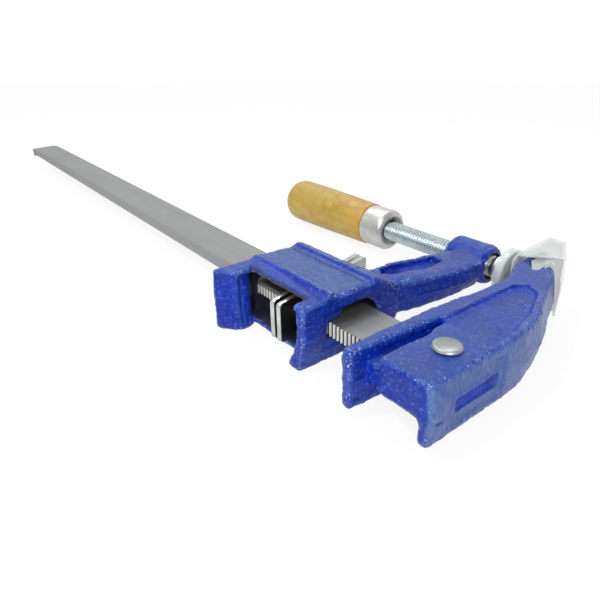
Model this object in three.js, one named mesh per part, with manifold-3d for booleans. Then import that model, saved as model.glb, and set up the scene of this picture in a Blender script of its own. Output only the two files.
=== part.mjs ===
// An F-clamp: two cast jaws on a flat toothed bar, a pair of clutch plates and a clamping screw.
// Millimetres. X runs along the bar to the fixed jaw, Y along the jaw arms, Z up from the surface
// that the sliding head lies on.
import * as THREE from "three";
import { mergeVertices } from "three/addons/utils/BufferGeometryUtils.js";
import Module from "manifold-3d";

const wasm = await Module();
wasm.setup();

// Gaps and cutting
const clearance = 0.3; // between pieces that touch
const overrun = 1; // how far a cutting shape runs past a face
const roundSides = 32; // sides of a round piece
const roundSteps = 4; // steps of a rounded corner

// Bar
const barWidth = 17.5;
const barThickness = 5;
const barLength = 416;
const toothPitch = 1.75;
const toothDepth = 0.8;
const plainEnd = 9; // bar without teeth at its far end
const barCorner = 4.5; // bevel of the far rear corner
const beadRadius = 1.5; // staked bead on the far front corner
const barSlide = 0.4; // gap between the bar and the castings

// Sliding head
const headHeight = 24;
const headLeft = -22.5;
const headRight = 22.5;
const headRear = 13.8; // towards the screw
const floorFront = -15.5; // front edge of its floor
const roofSetback = 0.5; // from there to the roof's front edge
const leftLegReach = 10; // of the legs, beyond the floor's front edge
const rightLegReach = 4.3;
const legThickness = 5;
const jambDepth = 4; // splay of the left leg's inner side
const jambWidth = 4.4;
const legSlope = 5.3; // fall of the left leg's front towards the window
const roofThickness = 2.2;
const floorThickness = 2;
const floorRise = 2.6; // underside of the floor between the legs
const sideDraft = 2.4; // slope of the head's outer sides
const legFlare = 3.4; // spread of the right leg's foot
const legWaist = 1.6;
const legWaistHeight = 15.4;
const legCalfHeight = 8;
const legRound = 1.7; // worn corner of the left leg
const rearThickness = 3;
const roofStep = 2.4; // fall of the roof from the front ridge to its front edge
const ridgeFront = -8;
const ridgeRear = 10;
const ridgeHeight = 1;
const ridgeWidth = 1.6;
const roofDish = 0.7; // the roof lies lower between its ridges
const archHeight = 6.1; // above the bar's centreline
const archWidth = 15.9;
const archStart = -3.4;
const plateRoom = 0.6; // gap between the head and the clutch plates

// Arm and boss of the sliding jaw
const armHeight = 11;
const armDraft = 3.2; // slope of its front face below the middle
const armPocketDepth = 3;
const rootLength = 7.7; // slope from the head's roof down to the arm
const bossRadius = 7.7;
const bossLength = 20;
const bossLeft = 5.5;
const bossRound = 1.9;
const screwReach = 73; // from the bar's centreline to the screw's axis

// Clutch plates
const plateLift = 0.4; // above the cavity's floor
const plateLength = 50;
const plateThickness = 2.5;
const plateFront = 19.4; // from the bar's centreline to the front end, along the plate
const platePitch = 3.4; // along the bar
const plateAtBar = 0.6; // middle of the first plate on the bar's centreline
const plateCant = 14; // degrees
const slotPlay = 1.8; // longer than the bar is wide
const slotRise = 0.6; // higher than the bar is thick
const plateCorner = 1.2;
const slotCorner = 0.3;

// Clutch spring
const springRadius = 1.8;
const springWire = 0.8;
const springTurns = 8;
const springY = -4;
const springSteps = 8; // steps of a turn
const springSides = 5;

// Screw
const screwRadius = 4.4;
const threadPitch = 1.5;
const threadDepth = 0.8;
const threadSides = 14;
const screwRoom = 35.3; // between the ferrule and the boss
const tangLength = 40;
const tangRadius = 3.4;
const noseRadius = 2.9;
const noseLength = 0.7;

// Handle
const gripLength = 60;
const gripRadius = 9.8;
const gripSwell = 1;
const gripEndRound = 4;
const ferruleLength = 12.7;
const ferruleRadius = 9.4;
const ferruleWall = 1.2;
const ferruleHolePlay = 0.45; // from the hole's flats to the screw
const ferruleHoleSides = 6;
const ferruleRound = 1.6;

// Ball and swivel pad
const ballRadius = 2.5;
const padRadius = 8.2;
const padThickness = 1.6;
const hubRadius = 5.6;
const hubLength = 4.1;
const hubBevel = 0.5;
const hubPlay = 0.9; // gap between the hub's mouth and the screw's nose
const capWall = 0.8;
const capLip = 1.3;

// Fixed jaw
const jawHeight = 19;
const jawDepth = 26; // from its inner face at the bar to the rear face's top edge
const restGap = 1.67; // from the pad to the pocket on the jaw's tip
const rearDraft = 1.6; // the rear face stands out by this at half height
const blockHeel = -18.5;
const heelStep = 4.5; // the flange ends this far beyond the block
const jawReach = 84.6; // from the bar's centreline to the nose's end
const flangeThickness = 3.4;
const valleyWidth = 6;
const valleyFloor = 4.6; // above the bar's centreline
const webPocket = 1.5;
const undersideWeb = 5.2; // below the bar's centreline
const heelLip = 1.2; // lower edge of the block's front face, below the bar's centreline
const heelSlope = 8;
const heelNotch = 2; // step of the web behind the flange's heel
const rearFlange = 2.8;
const jawEndWall = 1.9; // between the bar's end and the recess behind it
const recessLength = 18;
const recessHeight = 4;
const recessDepth = 1.3;
const recessRoundShare = 0.45; // of its height
const rivetInset = 8.3; // from the jaw's rear face
const rivetY = -2;
const rivetRadius = 2.8;
const rivetHead = 4.1;
const rivetHeadHeight = 1;

// Plastic pocket on the fixed jaw's tip
const pocketWall = 0.8;
const pocketPlay = 0.4; // above and below the jaw
const pocketOverhang = 8.4; // beyond the nose's end
const pocketProudShare = 0.28; // of the jaw's depth, in front of its inner face
const tailSlant = 14; // the tail's lower edge ends this far before its upper edge

// Places that follow from the sizes
const axisZ = headHeight / 2;
const headFront = floorFront + roofSetback;
const leftLegFront = floorFront - leftLegReach;
const rightLegFront = floorFront - rightLegReach;
const cavityLeft = headLeft + legThickness;
const cavityRight = headRight - legThickness;
const cavityTop = headHeight - roofDish - roofThickness;
const cavityFloor = floorRise + floorThickness;
const plateHeight = 2 * (axisZ - cavityFloor - plateLift);
const bossRight = bossLeft + bossLength;
const screwRight = bossRight + clearance;
const screwLeft = bossLeft - screwRoom;
const noseRight = screwRight + noseLength;
const ballX = noseRight + clearance + ballRadius;
const padBack = ballX - hubLength / 2;
const discBack = padBack + hubLength;
const padFront = discBack + padThickness;
const capFront = padFront + clearance + capWall;
const jawFace = capFront + restGap + pocketProudShare * jawDepth;
const jawRear = jawFace + jawDepth;
const flangeHeel = blockHeel - heelStep;
const barRight = jawRear + rearDraft - recessDepth - jawEndWall - clearance;
const barLeft = barRight - barLength;
const rivetX = jawRear - rivetInset;
const pocketHalf = jawHeight / 2 + pocketPlay + pocketWall;

// Geometry to solid and back
function solid(geometry) {
  const bare = geometry.clone();
  bare.deleteAttribute("normal");
  bare.deleteAttribute("uv");
  const merged = mergeVertices(bare);
  const mesh = new wasm.Mesh({
    numProp: 3,
    vertProperties: new Float32Array(merged.attributes.position.array),
    triVerts: new Uint32Array(merged.index.array),
  });
  return new wasm.Manifold(mesh);
}

function node(name, body, material) {
  const mesh = body.getMesh();
  const geometry = new THREE.BufferGeometry();
  geometry.setAttribute("position", new THREE.BufferAttribute(new Float32Array(mesh.vertProperties), 3));
  geometry.setIndex(new THREE.BufferAttribute(new Uint32Array(mesh.triVerts), 1));
  geometry.computeVertexNormals();
  const made = new THREE.Mesh(geometry, material);
  made.name = name;
  return made;
}

function join(first, ...others) {
  return others.reduce((sum, other) => sum.add(other), first);
}

function cut(first, ...others) {
  return others.reduce((left, other) => left.subtract(other), first);
}

// A box between two corners
function block(x0, x1, y0, y1, z0, z1) {
  const box = new THREE.BoxGeometry(x1 - x0, y1 - y0, z1 - z0);
  box.translate((x0 + x1) / 2, (y0 + y1) / 2, (z0 + z1) / 2);
  return solid(box);
}

// An outline in X and Y between two heights
function slab(points, z0, z1) {
  const shape = new THREE.Shape(points.map(([x, y]) => new THREE.Vector2(x, y)));
  const body = new THREE.ExtrudeGeometry(shape, { depth: z1 - z0, bevelEnabled: false });
  body.translate(0, 0, z0);
  return solid(body);
}

// An outline in Y and Z between two places along X
function slabAlongX(points, x0, x1) {
  const shape = new THREE.Shape(points.map(([y, z]) => new THREE.Vector2(y, z)));
  const body = new THREE.ExtrudeGeometry(shape, { depth: x1 - x0, bevelEnabled: false });
  body.rotateX(Math.PI / 2);
  body.rotateZ(Math.PI / 2);
  body.translate(x0, 0, 0);
  return solid(body);
}

// An outline in X and Z between two places along Y
function slabAlongY(points, y0, y1) {
  const shape = new THREE.Shape(points.map(([x, z]) => new THREE.Vector2(x, z)));
  const body = new THREE.ExtrudeGeometry(shape, { depth: y1 - y0, bevelEnabled: false });
  body.rotateX(Math.PI / 2);
  body.translate(0, y1, 0);
  return solid(body);
}

// A profile of [x, radius] points turned about a line along X
function turned(profile, y, z, sides = roundSides) {
  const body = new THREE.LatheGeometry(profile.map(([x, r]) => new THREE.Vector2(r, x)), sides);
  body.rotateZ(-Math.PI / 2);
  body.translate(0, y, z);
  return solid(body);
}

// A profile of [radius, z] points turned about an upright line
function upright(profile, x, y, sides = roundSides) {
  const body = new THREE.LatheGeometry(profile.map(([r, z]) => new THREE.Vector2(r, z)), sides);
  body.rotateX(Math.PI / 2);
  body.translate(x, y, 0);
  return solid(body);
}

function rod(x0, x1, radius, y, z, sides = roundSides) {
  return turned([[x0, 0], [x0, radius], [x1, radius], [x1, 0]], y, z, sides);
}

// A rounded outline between two corners, in any plane
function roundedBox(a0, a1, b0, b1, radius, steps = roundSteps) {
  const corners = [
    [a1 - radius, b1 - radius, 0],
    [a0 + radius, b1 - radius, 1],
    [a0 + radius, b0 + radius, 2],
    [a1 - radius, b0 + radius, 3],
  ];
  const points = [];
  for (const [a, b, quarter] of corners) {
    for (let i = 0; i <= steps; i += 1) {
      const angle = ((quarter + i / steps) * Math.PI) / 2;
      points.push([a + radius * Math.cos(angle), b + radius * Math.sin(angle)]);
    }
  }
  return points;
}

// The hole for the rivet through the bar and the fixed jaw
function rivetHole() {
  const holeRadius = rivetRadius + clearance;
  const profile = [
    [0, 0],
    [holeRadius, 0],
    [holeRadius, headHeight],
    [0, headHeight],
  ];
  return upright(profile, rivetX, rivetY);
}

// The bar, with teeth along its front edge
function makeBar() {
  const front = -barWidth / 2;
  const rear = barWidth / 2;
  const outline = [
    [barRight, front],
    [barRight, rear],
    [barLeft + barCorner, rear],
    [barLeft, rear - barCorner / 2],
    [barLeft + barCorner, front],
  ];
  const first = barLeft + barCorner + plainEnd;
  const count = Math.floor((barRight - first) / toothPitch) - 1;
  for (let i = 0; i < count; i += 1) {
    const x = first + i * toothPitch;
    outline.push([x, front], [x + toothPitch / 2, front + toothDepth]);
  }
  outline.push([first + count * toothPitch, front]);
  const body = slab(outline, axisZ - barThickness / 2, axisZ + barThickness / 2);
  const bead = upright(
    [
      [0, axisZ - barThickness / 2],
      [beadRadius, axisZ - barThickness / 2],
      [beadRadius, axisZ + barThickness / 2],
      [0, axisZ + barThickness / 2],
    ],
    barLeft + barCorner + beadRadius,
    front,
    roundSides / 2,
  );
  return cut(join(body, bead), rivetHole());
}

// Room for the bar in a casting
function barRoom(x0, x1) {
  const halfWidth = barWidth / 2 + barSlide;
  const halfHeight = barThickness / 2 + barSlide;
  return block(x0, x1, -halfWidth, halfWidth, axisZ - halfHeight, axisZ + halfHeight);
}

// The fixed jaw's outline: inner face, nose, notch, lobe and rear edge.
// Shares of the jaw's depth and of its reach; the last value of a point is its share of the rear draft.
const innerEdgeShares = [
  [0, 0.12],
  [0.058, 0.33],
  [0.108, 0.56],
  [-0.06, 0.7],
  [-0.19, 0.8],
  [-0.2, 1],
  [-0.05, 1],
  [-0.05, 0.83],
  [0.196, 0.707],
  [0.146, 0.877],
];
const rearEdgeShares = [
  [0.29, 0.835],
  [0.39, 0.78],
  [0.46, 0.715],
  [0.615, 0.591],
  [0.865, 0.414],
  [0.981, 0.26],
  [1, 0.154],
];

function jawOutline(draft) {
  const points = [[jawFace, flangeHeel]];
  for (const [across, along] of innerEdgeShares) {
    points.push([jawFace + across * jawDepth, along * jawReach]);
  }
  for (const [across, along] of rearEdgeShares) {
    points.push([jawFace + across * jawDepth + draft, along * jawReach]);
  }
  points.push([jawRear + draft, blockHeel]);
  points.push([jawFace + flangeThickness, blockHeel]);
  points.push([jawFace + flangeThickness, flangeHeel]);
  return points.reverse();
}

// A solid through outlines at rising heights, each with the same number of points
function lofted(levels) {
  const count = levels[0].points.length;
  const positions = levels.flatMap((level) => level.points.flatMap(([x, y]) => [x, y, level.z]));
  const flat = levels[0].points.map(([x, y]) => new THREE.Vector2(x, y));
  const faces = THREE.ShapeUtils.triangulateShape(flat, []);
  const turn = THREE.ShapeUtils.area(flat) > 0 ? 1 : -1;
  const top = (levels.length - 1) * count;
  const index = [];
  const push = (a, b, c) => index.push(...(turn > 0 ? [a, b, c] : [a, c, b]));
  for (const [a, b, c] of faces) {
    index.push(a, c, b);
    index.push(top + a, top + b, top + c);
  }
  for (let level = 0; level < levels.length - 1; level += 1) {
    for (let i = 0; i < count; i += 1) {
      const a = level * count + i;
      const b = level * count + ((i + 1) % count);
      push(a, b, b + count);
      push(a, b + count, a + count);
    }
  }
  const geometry = new THREE.BufferGeometry();
  geometry.setAttribute("position", new THREE.Float32BufferAttribute(positions, 3));
  geometry.setIndex(index);
  return solid(geometry);
}

const webPocketShares = [
  [0.24, 0.1],
  [0.255, 0.54],
  [0.4, 0.585],
  [0.59, 0.545],
  [0.79, 0.39],
  [0.91, 0.24],
  [0.92, 0.12],
];
const valleyEndShares = [
  [0.27, 0.13],
  [0.2, 0.13],
];
const channelShares = [
  [0.16, 0.1],
  [0.22, 0.5],
  [0.37, 0.56],
  [0.54, 0.52],
  [0.72, 0.38],
  [0.82, 0.2],
];

function jawPoint([across, along]) {
  return [jawFace + across * jawDepth, along * jawReach];
}

function makeFixedJaw() {
  const low = axisZ - jawHeight / 2;
  const high = axisZ + jawHeight / 2;
  const body = lofted([
    { z: low, points: jawOutline(0) },
    { z: axisZ, points: jawOutline(rearDraft) },
    { z: high, points: jawOutline(0) },
  ]);
  const flangeInside = jawFace + flangeThickness;
  const blockInside = flangeInside + valleyWidth;
  const back = jawRear + rearDraft;
  const valley = slab(
    [
      [flangeInside, blockHeel - overrun],
      [blockInside, blockHeel - overrun],
      [blockInside, 0],
      ...valleyEndShares.map(jawPoint),
    ],
    axisZ + valleyFloor,
    high + overrun,
  );
  const pocket = slab(webPocketShares.map(jawPoint), high - webPocket, high + overrun);
  const channelInside = jawRear - rearFlange;
  const channel = slab(
    [
      [flangeInside, blockHeel - overrun],
      ...channelShares.map(jawPoint),
      [channelInside, blockHeel - overrun],
    ],
    low - overrun,
    axisZ - undersideWeb,
  );
  const fall = heelSlope / (undersideWeb - heelLip);
  const slope = slabAlongX(
    [
      [blockHeel + heelSlope + overrun * fall, axisZ - undersideWeb - overrun],
      [blockHeel - overrun * fall, axisZ - heelLip + overrun],
      [blockHeel - overrun * fall, axisZ - undersideWeb - overrun],
    ],
    flangeInside,
    channelInside,
  );
  const valleyHeel = block(
    flangeInside,
    blockInside,
    blockHeel - overrun,
    blockHeel + heelNotch,
    low,
    high + overrun,
  );
  const recessEnd = recessLength / 2;
  const recessLow = axisZ - recessHeight / 2;
  const recessHigh = axisZ + recessHeight / 2;
  const recess = slabAlongX(
    roundedBox(-recessEnd, recessEnd, recessLow, recessHigh, recessRoundShare * recessHeight),
    back - recessDepth,
    back + overrun,
  );
  const room = barRoom(jawFace - overrun, barRight + clearance);
  return cut(body, valley, pocket, channel, slope, valleyHeel, recess, rivetHole(), room);
}

// A rivet with a bevelled head on top and a flat one beneath
function makeRivet() {
  const top = axisZ + jawHeight / 2 + clearance;
  const bottom = axisZ - undersideWeb - clearance;
  const bevel = rivetHeadHeight / 2;
  return upright(
    [
      [0, bottom - rivetHeadHeight],
      [rivetHead - bevel, bottom - rivetHeadHeight],
      [rivetHead, bottom - bevel],
      [rivetHead, bottom],
      [rivetRadius, bottom],
      [rivetRadius, top],
      [rivetHead, top],
      [rivetHead, top + bevel],
      [rivetHead - bevel, top + rivetHeadHeight],
      [0, top + rivetHeadHeight],
    ],
    rivetX,
    rivetY,
  );
}

// The soft pocket: front wall, far end and rear wall as one bent strip, closed above and below.
// Shares of the jaw's depth, of its reach and of the pocket's overhang.
const pocketLipShares = [[-0.14, 0.718, 0]];
const pocketLidShares = [
  [-0.235, 0.804, 0],
  [-pocketProudShare, 1, 1],
  [-0.02, 1, 0.935],
  [0.315, 0.903, 0],
];
const pocketTailShares = [
  [0.585, 0.726, 0],
  [0.62, 0.695, 0],
];
const mouthShares = [
  [-0.2, 0.79, 0],
  [-0.04, 0.827, 0],
  [0.155, 0.886, 0],
];

function pocketPoint([across, along, beyond]) {
  return [jawFace + across * jawDepth, along * jawReach + beyond * pocketOverhang];
}

// An outline drawn in by a distance, corner by corner; its open ends stay where they are
function drawnIn(points, distance) {
  return points.map((point, i) => {
    const before = points[Math.max(i - 1, 0)];
    const after = points[Math.min(i + 1, points.length - 1)];
    const a = new THREE.Vector2(point[0] - before[0], point[1] - before[1]);
    const b = new THREE.Vector2(after[0] - point[0], after[1] - point[1]);
    const first = (a.lengthSq() > 0 ? a : b).clone().normalize();
    const second = (b.lengthSq() > 0 ? b : a).clone().normalize();
    const normal = new THREE.Vector2(first.y + second.y, -first.x - second.x).normalize();
    const miter = distance / normal.dot(new THREE.Vector2(first.y, -first.x));
    return [point[0] + normal.x * miter, point[1] + normal.y * miter];
  });
}

function makeJawCap() {
  const outer = [...pocketLipShares, ...pocketLidShares, ...pocketTailShares].map(pocketPoint);
  const inner = drawnIn(outer, pocketWall);
  const covered = inner.slice(pocketLipShares.length, -pocketTailShares.length);
  const bottom = axisZ - pocketHalf;
  const top = axisZ + pocketHalf;
  const shell = slab([...outer, ...inner.slice().reverse()], bottom, top);
  const mouth = mouthShares.map(pocketPoint);
  const lid = [mouth[0], ...covered, mouth[2], mouth[1]];
  const upper = slab(lid, top - pocketWall, top);
  const lower = slab(lid, bottom, bottom + pocketWall);
  const [, tailEnd] = outer[outer.length - 1];
  const [lidEnd] = pocketPoint(pocketLidShares[pocketLidShares.length - 1]);
  const slant = slabAlongX(
    [
      [tailEnd - overrun, top],
      [tailEnd + tailSlant, bottom],
      [tailEnd + tailSlant, bottom - overrun],
      [tailEnd - overrun, bottom - overrun],
    ],
    lidEnd,
    jawRear + overrun,
  );
  return join(cut(shell, slant), upper, lower);
}

// The room inside the head
function cavityRoom() {
  return block(
    cavityLeft,
    cavityRight,
    floorFront + jambDepth,
    headRear - rearThickness,
    cavityFloor,
    cavityTop,
  );
}

// The head of the sliding jaw: roof, floor, legs and rear wall round the cavity of the plates
function makeHead() {
  const shell = slabAlongX(
    [
      [headFront, headHeight - roofStep],
      [headFront, floorRise],
      [headFront + jambDepth, 0],
      [headRear, 0],
      [headRear, headHeight - roofStep / 2],
      [ridgeRear + ridgeWidth, headHeight],
      [ridgeRear, headHeight + ridgeHeight],
      [ridgeRear - ridgeWidth, headHeight - roofDish],
      [ridgeFront + ridgeWidth, headHeight - roofDish],
      [ridgeFront, headHeight + ridgeHeight],
      [ridgeFront - ridgeWidth, headHeight - roofDish],
    ],
    headLeft,
    headRight,
  );
  const jambFoot = cavityLeft + jambWidth;
  const top = headHeight - roofStep / 2;
  const leftLeg = slab(
    [
      [headLeft, leftLegFront + legRound],
      [headLeft + legRound, leftLegFront],
      [cavityLeft - legRound / 2, leftLegFront + legRound / 2],
      [jambFoot, leftLegFront + legSlope],
      [jambFoot, floorFront],
      [cavityLeft, floorFront + jambDepth],
      [headLeft, floorFront + jambDepth],
    ],
    0,
    top,
  );
  const rightLeg = slabAlongY(
    [
      [cavityRight, top],
      [cavityRight + legWaist, legWaistHeight],
      [cavityRight - legWaist / 2, legCalfHeight],
      [cavityRight - legFlare, 0],
      [headRight, 0],
      [headRight, top],
    ],
    rightLegFront,
    floorFront + jambDepth,
  );
  const window = slab(
    [
      [jambFoot, floorFront - overrun],
      [cavityRight, floorFront - overrun],
      [cavityRight, floorFront + jambDepth + overrun],
      [cavityLeft, floorFront + jambDepth + overrun],
      [cavityLeft, floorFront + jambDepth],
      [jambFoot, floorFront],
    ],
    cavityFloor,
    cavityTop,
  );
  const above = headHeight + ridgeHeight + overrun;
  const draftAbove = slabAlongY(
    [
      [headLeft, axisZ],
      [headLeft + sideDraft, above],
      [headLeft - sideDraft, above],
      [headLeft - sideDraft, axisZ],
    ],
    leftLegFront - overrun,
    screwReach,
  );
  const draftBelow = slabAlongY(
    [
      [headRight, axisZ],
      [headRight - sideDraft, 0],
      [headRight - sideDraft, -overrun],
      [headRight + sideDraft, -overrun],
      [headRight + sideDraft, axisZ],
    ],
    leftLegFront - overrun,
    headRear,
  );
  return cut(join(shell, leftLeg, rightLeg), window, draftAbove, draftBelow);
}

// The slot in the rear wall that the plates pass through, from square to canted
function plateSlot() {
  const tilt = Math.tan(THREE.MathUtils.degToRad(plateCant));
  const half = plateThickness / 2 / Math.cos(THREE.MathUtils.degToRad(plateCant));
  return block(
    plateAtBar - headRear * tilt - half - plateRoom,
    plateAtBar + platePitch + plateThickness / 2 + plateRoom,
    headRear - rearThickness - overrun,
    headRear + rootLength + overrun,
    axisZ - plateHeight / 2 - plateRoom,
    axisZ + plateHeight / 2 + plateRoom,
  );
}

// Edges of the arm from the head to the boss: shares of the boss's length and of the screw's reach.
// The third value of a front point is its share of the arm's draft.
const armLeftShares = [
  [0.023, 0.15],
  [0.023, 0.42],
  [0.031, 0.55],
  [0.14, 0.72],
  [0.28, 0.82],
  [0.31, 0.92],
];
const armRightShares = [
  [0.9, 0.92, 1],
  [1.07, 0.86, 1],
  [1.07, 0.78, 1],
  [1.01, 0.6, 0.4],
  [0.87, 0.42, 0],
  [0.77, 0.3, 0],
  [0.75, 0.15, 0],
];
const armPocketShares = [
  [0.054, 0.37],
  [0.047, 0.46],
  [0.109, 0.57],
  [0.233, 0.73],
  [0.527, 0.72],
  [0.574, 0.52],
  [0.512, 0.35],
  [0.279, 0.31],
];

function armPoint([across, along]) {
  return [bossLeft + across * bossLength, along * screwReach];
}

function armOutline(draft) {
  const left = armLeftShares.map(armPoint);
  const right = armRightShares.map(([across, along, slope]) => {
    const [x, y] = armPoint([across, along]);
    return [x - slope * draft, y];
  });
  return [...left, ...right].reverse();
}

// The arm's root: the head's full height at its rear wall, the arm's height where the arm starts
function rootOutline(spread) {
  const reach = headRear + spread * rootLength;
  return [
    [bossLeft, 0],
    [headRight, 0],
    [headRight, reach],
    [bossLeft, reach],
  ];
}

function makeArm() {
  const low = axisZ - armHeight / 2;
  const high = axisZ + armHeight / 2;
  const web = lofted([
    { z: low, points: armOutline(armDraft) },
    { z: axisZ, points: armOutline(0) },
    { z: high, points: armOutline(0) },
  ]);
  const root = lofted([
    { z: 0, points: rootOutline(0) },
    { z: low, points: rootOutline(1) },
    { z: high, points: rootOutline(1) },
    { z: headHeight - roofStep / 2, points: rootOutline(0) },
  ]);
  const boss = turned(
    [
      [bossLeft, 0],
      [bossLeft, bossRadius - bossRound / 2],
      [bossLeft + bossRound / 2, bossRadius],
      [bossRight - bossRound, bossRadius],
      [bossRight, bossRadius - bossRound],
      [bossRight, 0],
    ],
    screwReach,
    axisZ,
  );
  const pocket = armPocketShares.map(armPoint);
  const upper = slab(pocket, high - armPocketDepth, high + overrun);
  const lower = slab(pocket, low - overrun, low + armPocketDepth);
  return join(cut(join(web, root), upper, lower), boss);
}

// The arch over the bar in the head's front wall: shares of its width and of its height
const archShares = [
  [0, 0],
  [0, 0.86],
  [0.1, 1],
  [0.38, 0.87],
  [0.62, 0.88],
  [0.74, 0.8],
  [0.91, 0.38],
  [1, 0.05],
  [1, -0.25],
  [0.8, -0.4],
];

function makeSlidingJaw() {
  const bore = screwRadius + clearance;
  const threaded = rod(bossLeft - overrun, bossRight + overrun, bore, screwReach, axisZ);
  const arch = slabAlongX(
    archShares.map(([across, up]) => [archStart + across * archWidth, axisZ + up * archHeight]),
    cavityRight - overrun,
    headRight + overrun,
  );
  const room = barRoom(headLeft - overrun, headRight + overrun);
  return cut(join(makeHead(), makeArm()), cavityRoom(), plateSlot(), threaded, arch, room);
}

// A clutch plate, square to the bar, about its own centre on the bar
function plateGeometry() {
  const rear = plateLength - plateFront;
  const edge = roundedBox(-plateFront, rear, -plateHeight / 2, plateHeight / 2, plateCorner, 2);
  const slotEnd = (barWidth + slotPlay) / 2;
  const slotTop = (barThickness + slotRise) / 2;
  const slot = roundedBox(-slotEnd, slotEnd, -slotTop, slotTop, slotCorner, 1);
  const shape = new THREE.Shape(edge.map(([y, z]) => new THREE.Vector2(y, z)));
  shape.holes.push(new THREE.Path(slot.reverse().map(([y, z]) => new THREE.Vector2(y, z))));
  const body = new THREE.ExtrudeGeometry(shape, { depth: plateThickness, bevelEnabled: false });
  body.translate(0, 0, -plateThickness / 2);
  body.rotateX(Math.PI / 2);
  body.rotateZ(Math.PI / 2);
  return body;
}

function makePlate(name, x) {
  const made = new THREE.Mesh(plateGeometry(), plateSteel);
  made.name = name;
  made.position.set(x, 0, axisZ);
  made.rotation.z = THREE.MathUtils.degToRad(plateCant);
  return made;
}

// A coil as one unbroken tube along X, from the cavity's wall to the first plate
function makeSpring() {
  const steps = springSteps;
  const sides = springSides;
  const tilt = Math.tan(THREE.MathUtils.degToRad(plateCant));
  const plateFace = plateAtBar - plateThickness / 2 / Math.cos(THREE.MathUtils.degToRad(plateCant));
  const reach = springRadius + springWire / 2;
  const start = cavityLeft + clearance + springWire / 2;
  const end = plateFace - (springY + reach) * tilt - clearance - springWire / 2;
  const centreZ = axisZ + barThickness / 2 + clearance + reach;
  const count = Math.round(springTurns * steps);
  const positions = [];
  const middle = (i) => {
    const angle = (i / steps) * Math.PI * 2;
    return new THREE.Vector3(
      start + ((end - start) * i) / count,
      springY + springRadius * Math.cos(angle),
      centreZ + springRadius * Math.sin(angle),
    );
  };
  for (let i = 0; i <= count; i += 1) {
    const angle = (i / steps) * Math.PI * 2;
    const outward = new THREE.Vector3(0, Math.cos(angle), Math.sin(angle));
    const along = new THREE.Vector3(
      (end - start) / count,
      (-springRadius * Math.sin(angle) * Math.PI * 2) / steps,
      (springRadius * Math.cos(angle) * Math.PI * 2) / steps,
    ).normalize();
    const across = new THREE.Vector3().crossVectors(along, outward).normalize();
    for (let j = 0; j < sides; j += 1) {
      const turn = (j / sides) * Math.PI * 2;
      const point = middle(i)
        .addScaledVector(outward, (springWire / 2) * Math.cos(turn))
        .addScaledVector(across, (springWire / 2) * Math.sin(turn));
      positions.push(point.x, point.y, point.z);
    }
  }
  const index = [];
  for (let i = 0; i < count; i += 1) {
    for (let j = 0; j < sides; j += 1) {
      const a = i * sides + j;
      const b = i * sides + ((j + 1) % sides);
      index.push(a, b, b + sides, a, b + sides, a + sides);
    }
  }
  for (let j = 1; j < sides - 1; j += 1) {
    index.push(0, j + 1, j);
    index.push(count * sides, count * sides + j, count * sides + j + 1);
  }
  let least = Infinity;
  for (let i = 0; i <= count; i += 1) {
    for (let k = i + steps / 2; k <= count; k += 1) {
      least = Math.min(least, middle(i).distanceTo(middle(k)) - springWire);
    }
  }
  console.log("clutch spring: least gap between its turns", least.toFixed(2), "mm");
  const geometry = new THREE.BufferGeometry();
  geometry.setAttribute("position", new THREE.Float32BufferAttribute(positions, 3));
  geometry.setIndex(index);
  return solid(geometry);
}

// A right-hand thread: crest and root lines that climb by one pitch a turn
function threadSolid(x0, x1) {
  const sides = threadSides;
  const turns = Math.ceil((x1 - x0) / threadPitch) + 2;
  const begin = x0 - threadPitch;
  const rings = turns * 2;
  const place = (k, row) => {
    const angle = (k / sides) * Math.PI * 2;
    const radius = row % 2 ? screwRadius : screwRadius - threadDepth;
    const x = begin + threadPitch * (row / 2 + k / sides);
    return [x, screwReach + radius * Math.cos(angle), axisZ + radius * Math.sin(angle)];
  };
  const positions = [];
  const index = [];
  const at = (k, row) => (k === sides ? row + 2 : row) * sides + (k === sides ? 0 : k);
  for (let row = 0; row <= rings + 2; row += 1) {
    for (let k = 0; k < sides; k += 1) {
      positions.push(...place(k, row));
    }
  }
  for (let row = 0; row < rings; row += 1) {
    for (let k = 0; k < sides; k += 1) {
      index.push(at(k, row), at(k + 1, row), at(k + 1, row + 1));
      index.push(at(k, row), at(k + 1, row + 1), at(k, row + 1));
    }
  }
  const near = positions.length / 3;
  positions.push(begin - threadPitch, screwReach, axisZ);
  const far = near + 1;
  positions.push(begin + threadPitch * (turns + 2), screwReach, axisZ);
  const startLoop = [];
  const endLoop = [];
  for (let k = 0; k <= sides; k += 1) {
    startLoop.push(at(k, 0));
    endLoop.push(at(k, rings));
  }
  startLoop.push(at(0, 1));
  endLoop.push(at(0, rings + 1));
  for (let i = 0; i < startLoop.length; i += 1) {
    const next = (i + 1) % startLoop.length;
    index.push(near, startLoop[next], startLoop[i]);
    index.push(far, endLoop[i], endLoop[next]);
  }
  const geometry = new THREE.BufferGeometry();
  geometry.setAttribute("position", new THREE.Float32BufferAttribute(positions, 3));
  geometry.setIndex(index);
  const whole = solid(geometry.toNonIndexed());
  return whole.intersect(rod(x0, x1, screwRadius + overrun, screwReach, axisZ));
}

function makeScrew() {
  const tang = rod(
    screwLeft - ferruleWall - tangLength,
    screwLeft,
    tangRadius,
    screwReach,
    axisZ,
    roundSides / 2,
  );
  const nose = turned(
    [
      [screwRight - threadPitch, 0],
      [screwRight - threadPitch, noseRadius],
      [noseRight, noseRadius],
      [noseRight, 0],
    ],
    screwReach,
    axisZ,
    roundSides / 2,
  );
  return join(threadSolid(screwLeft - ferruleWall, screwRight), tang, nose);
}

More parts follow.
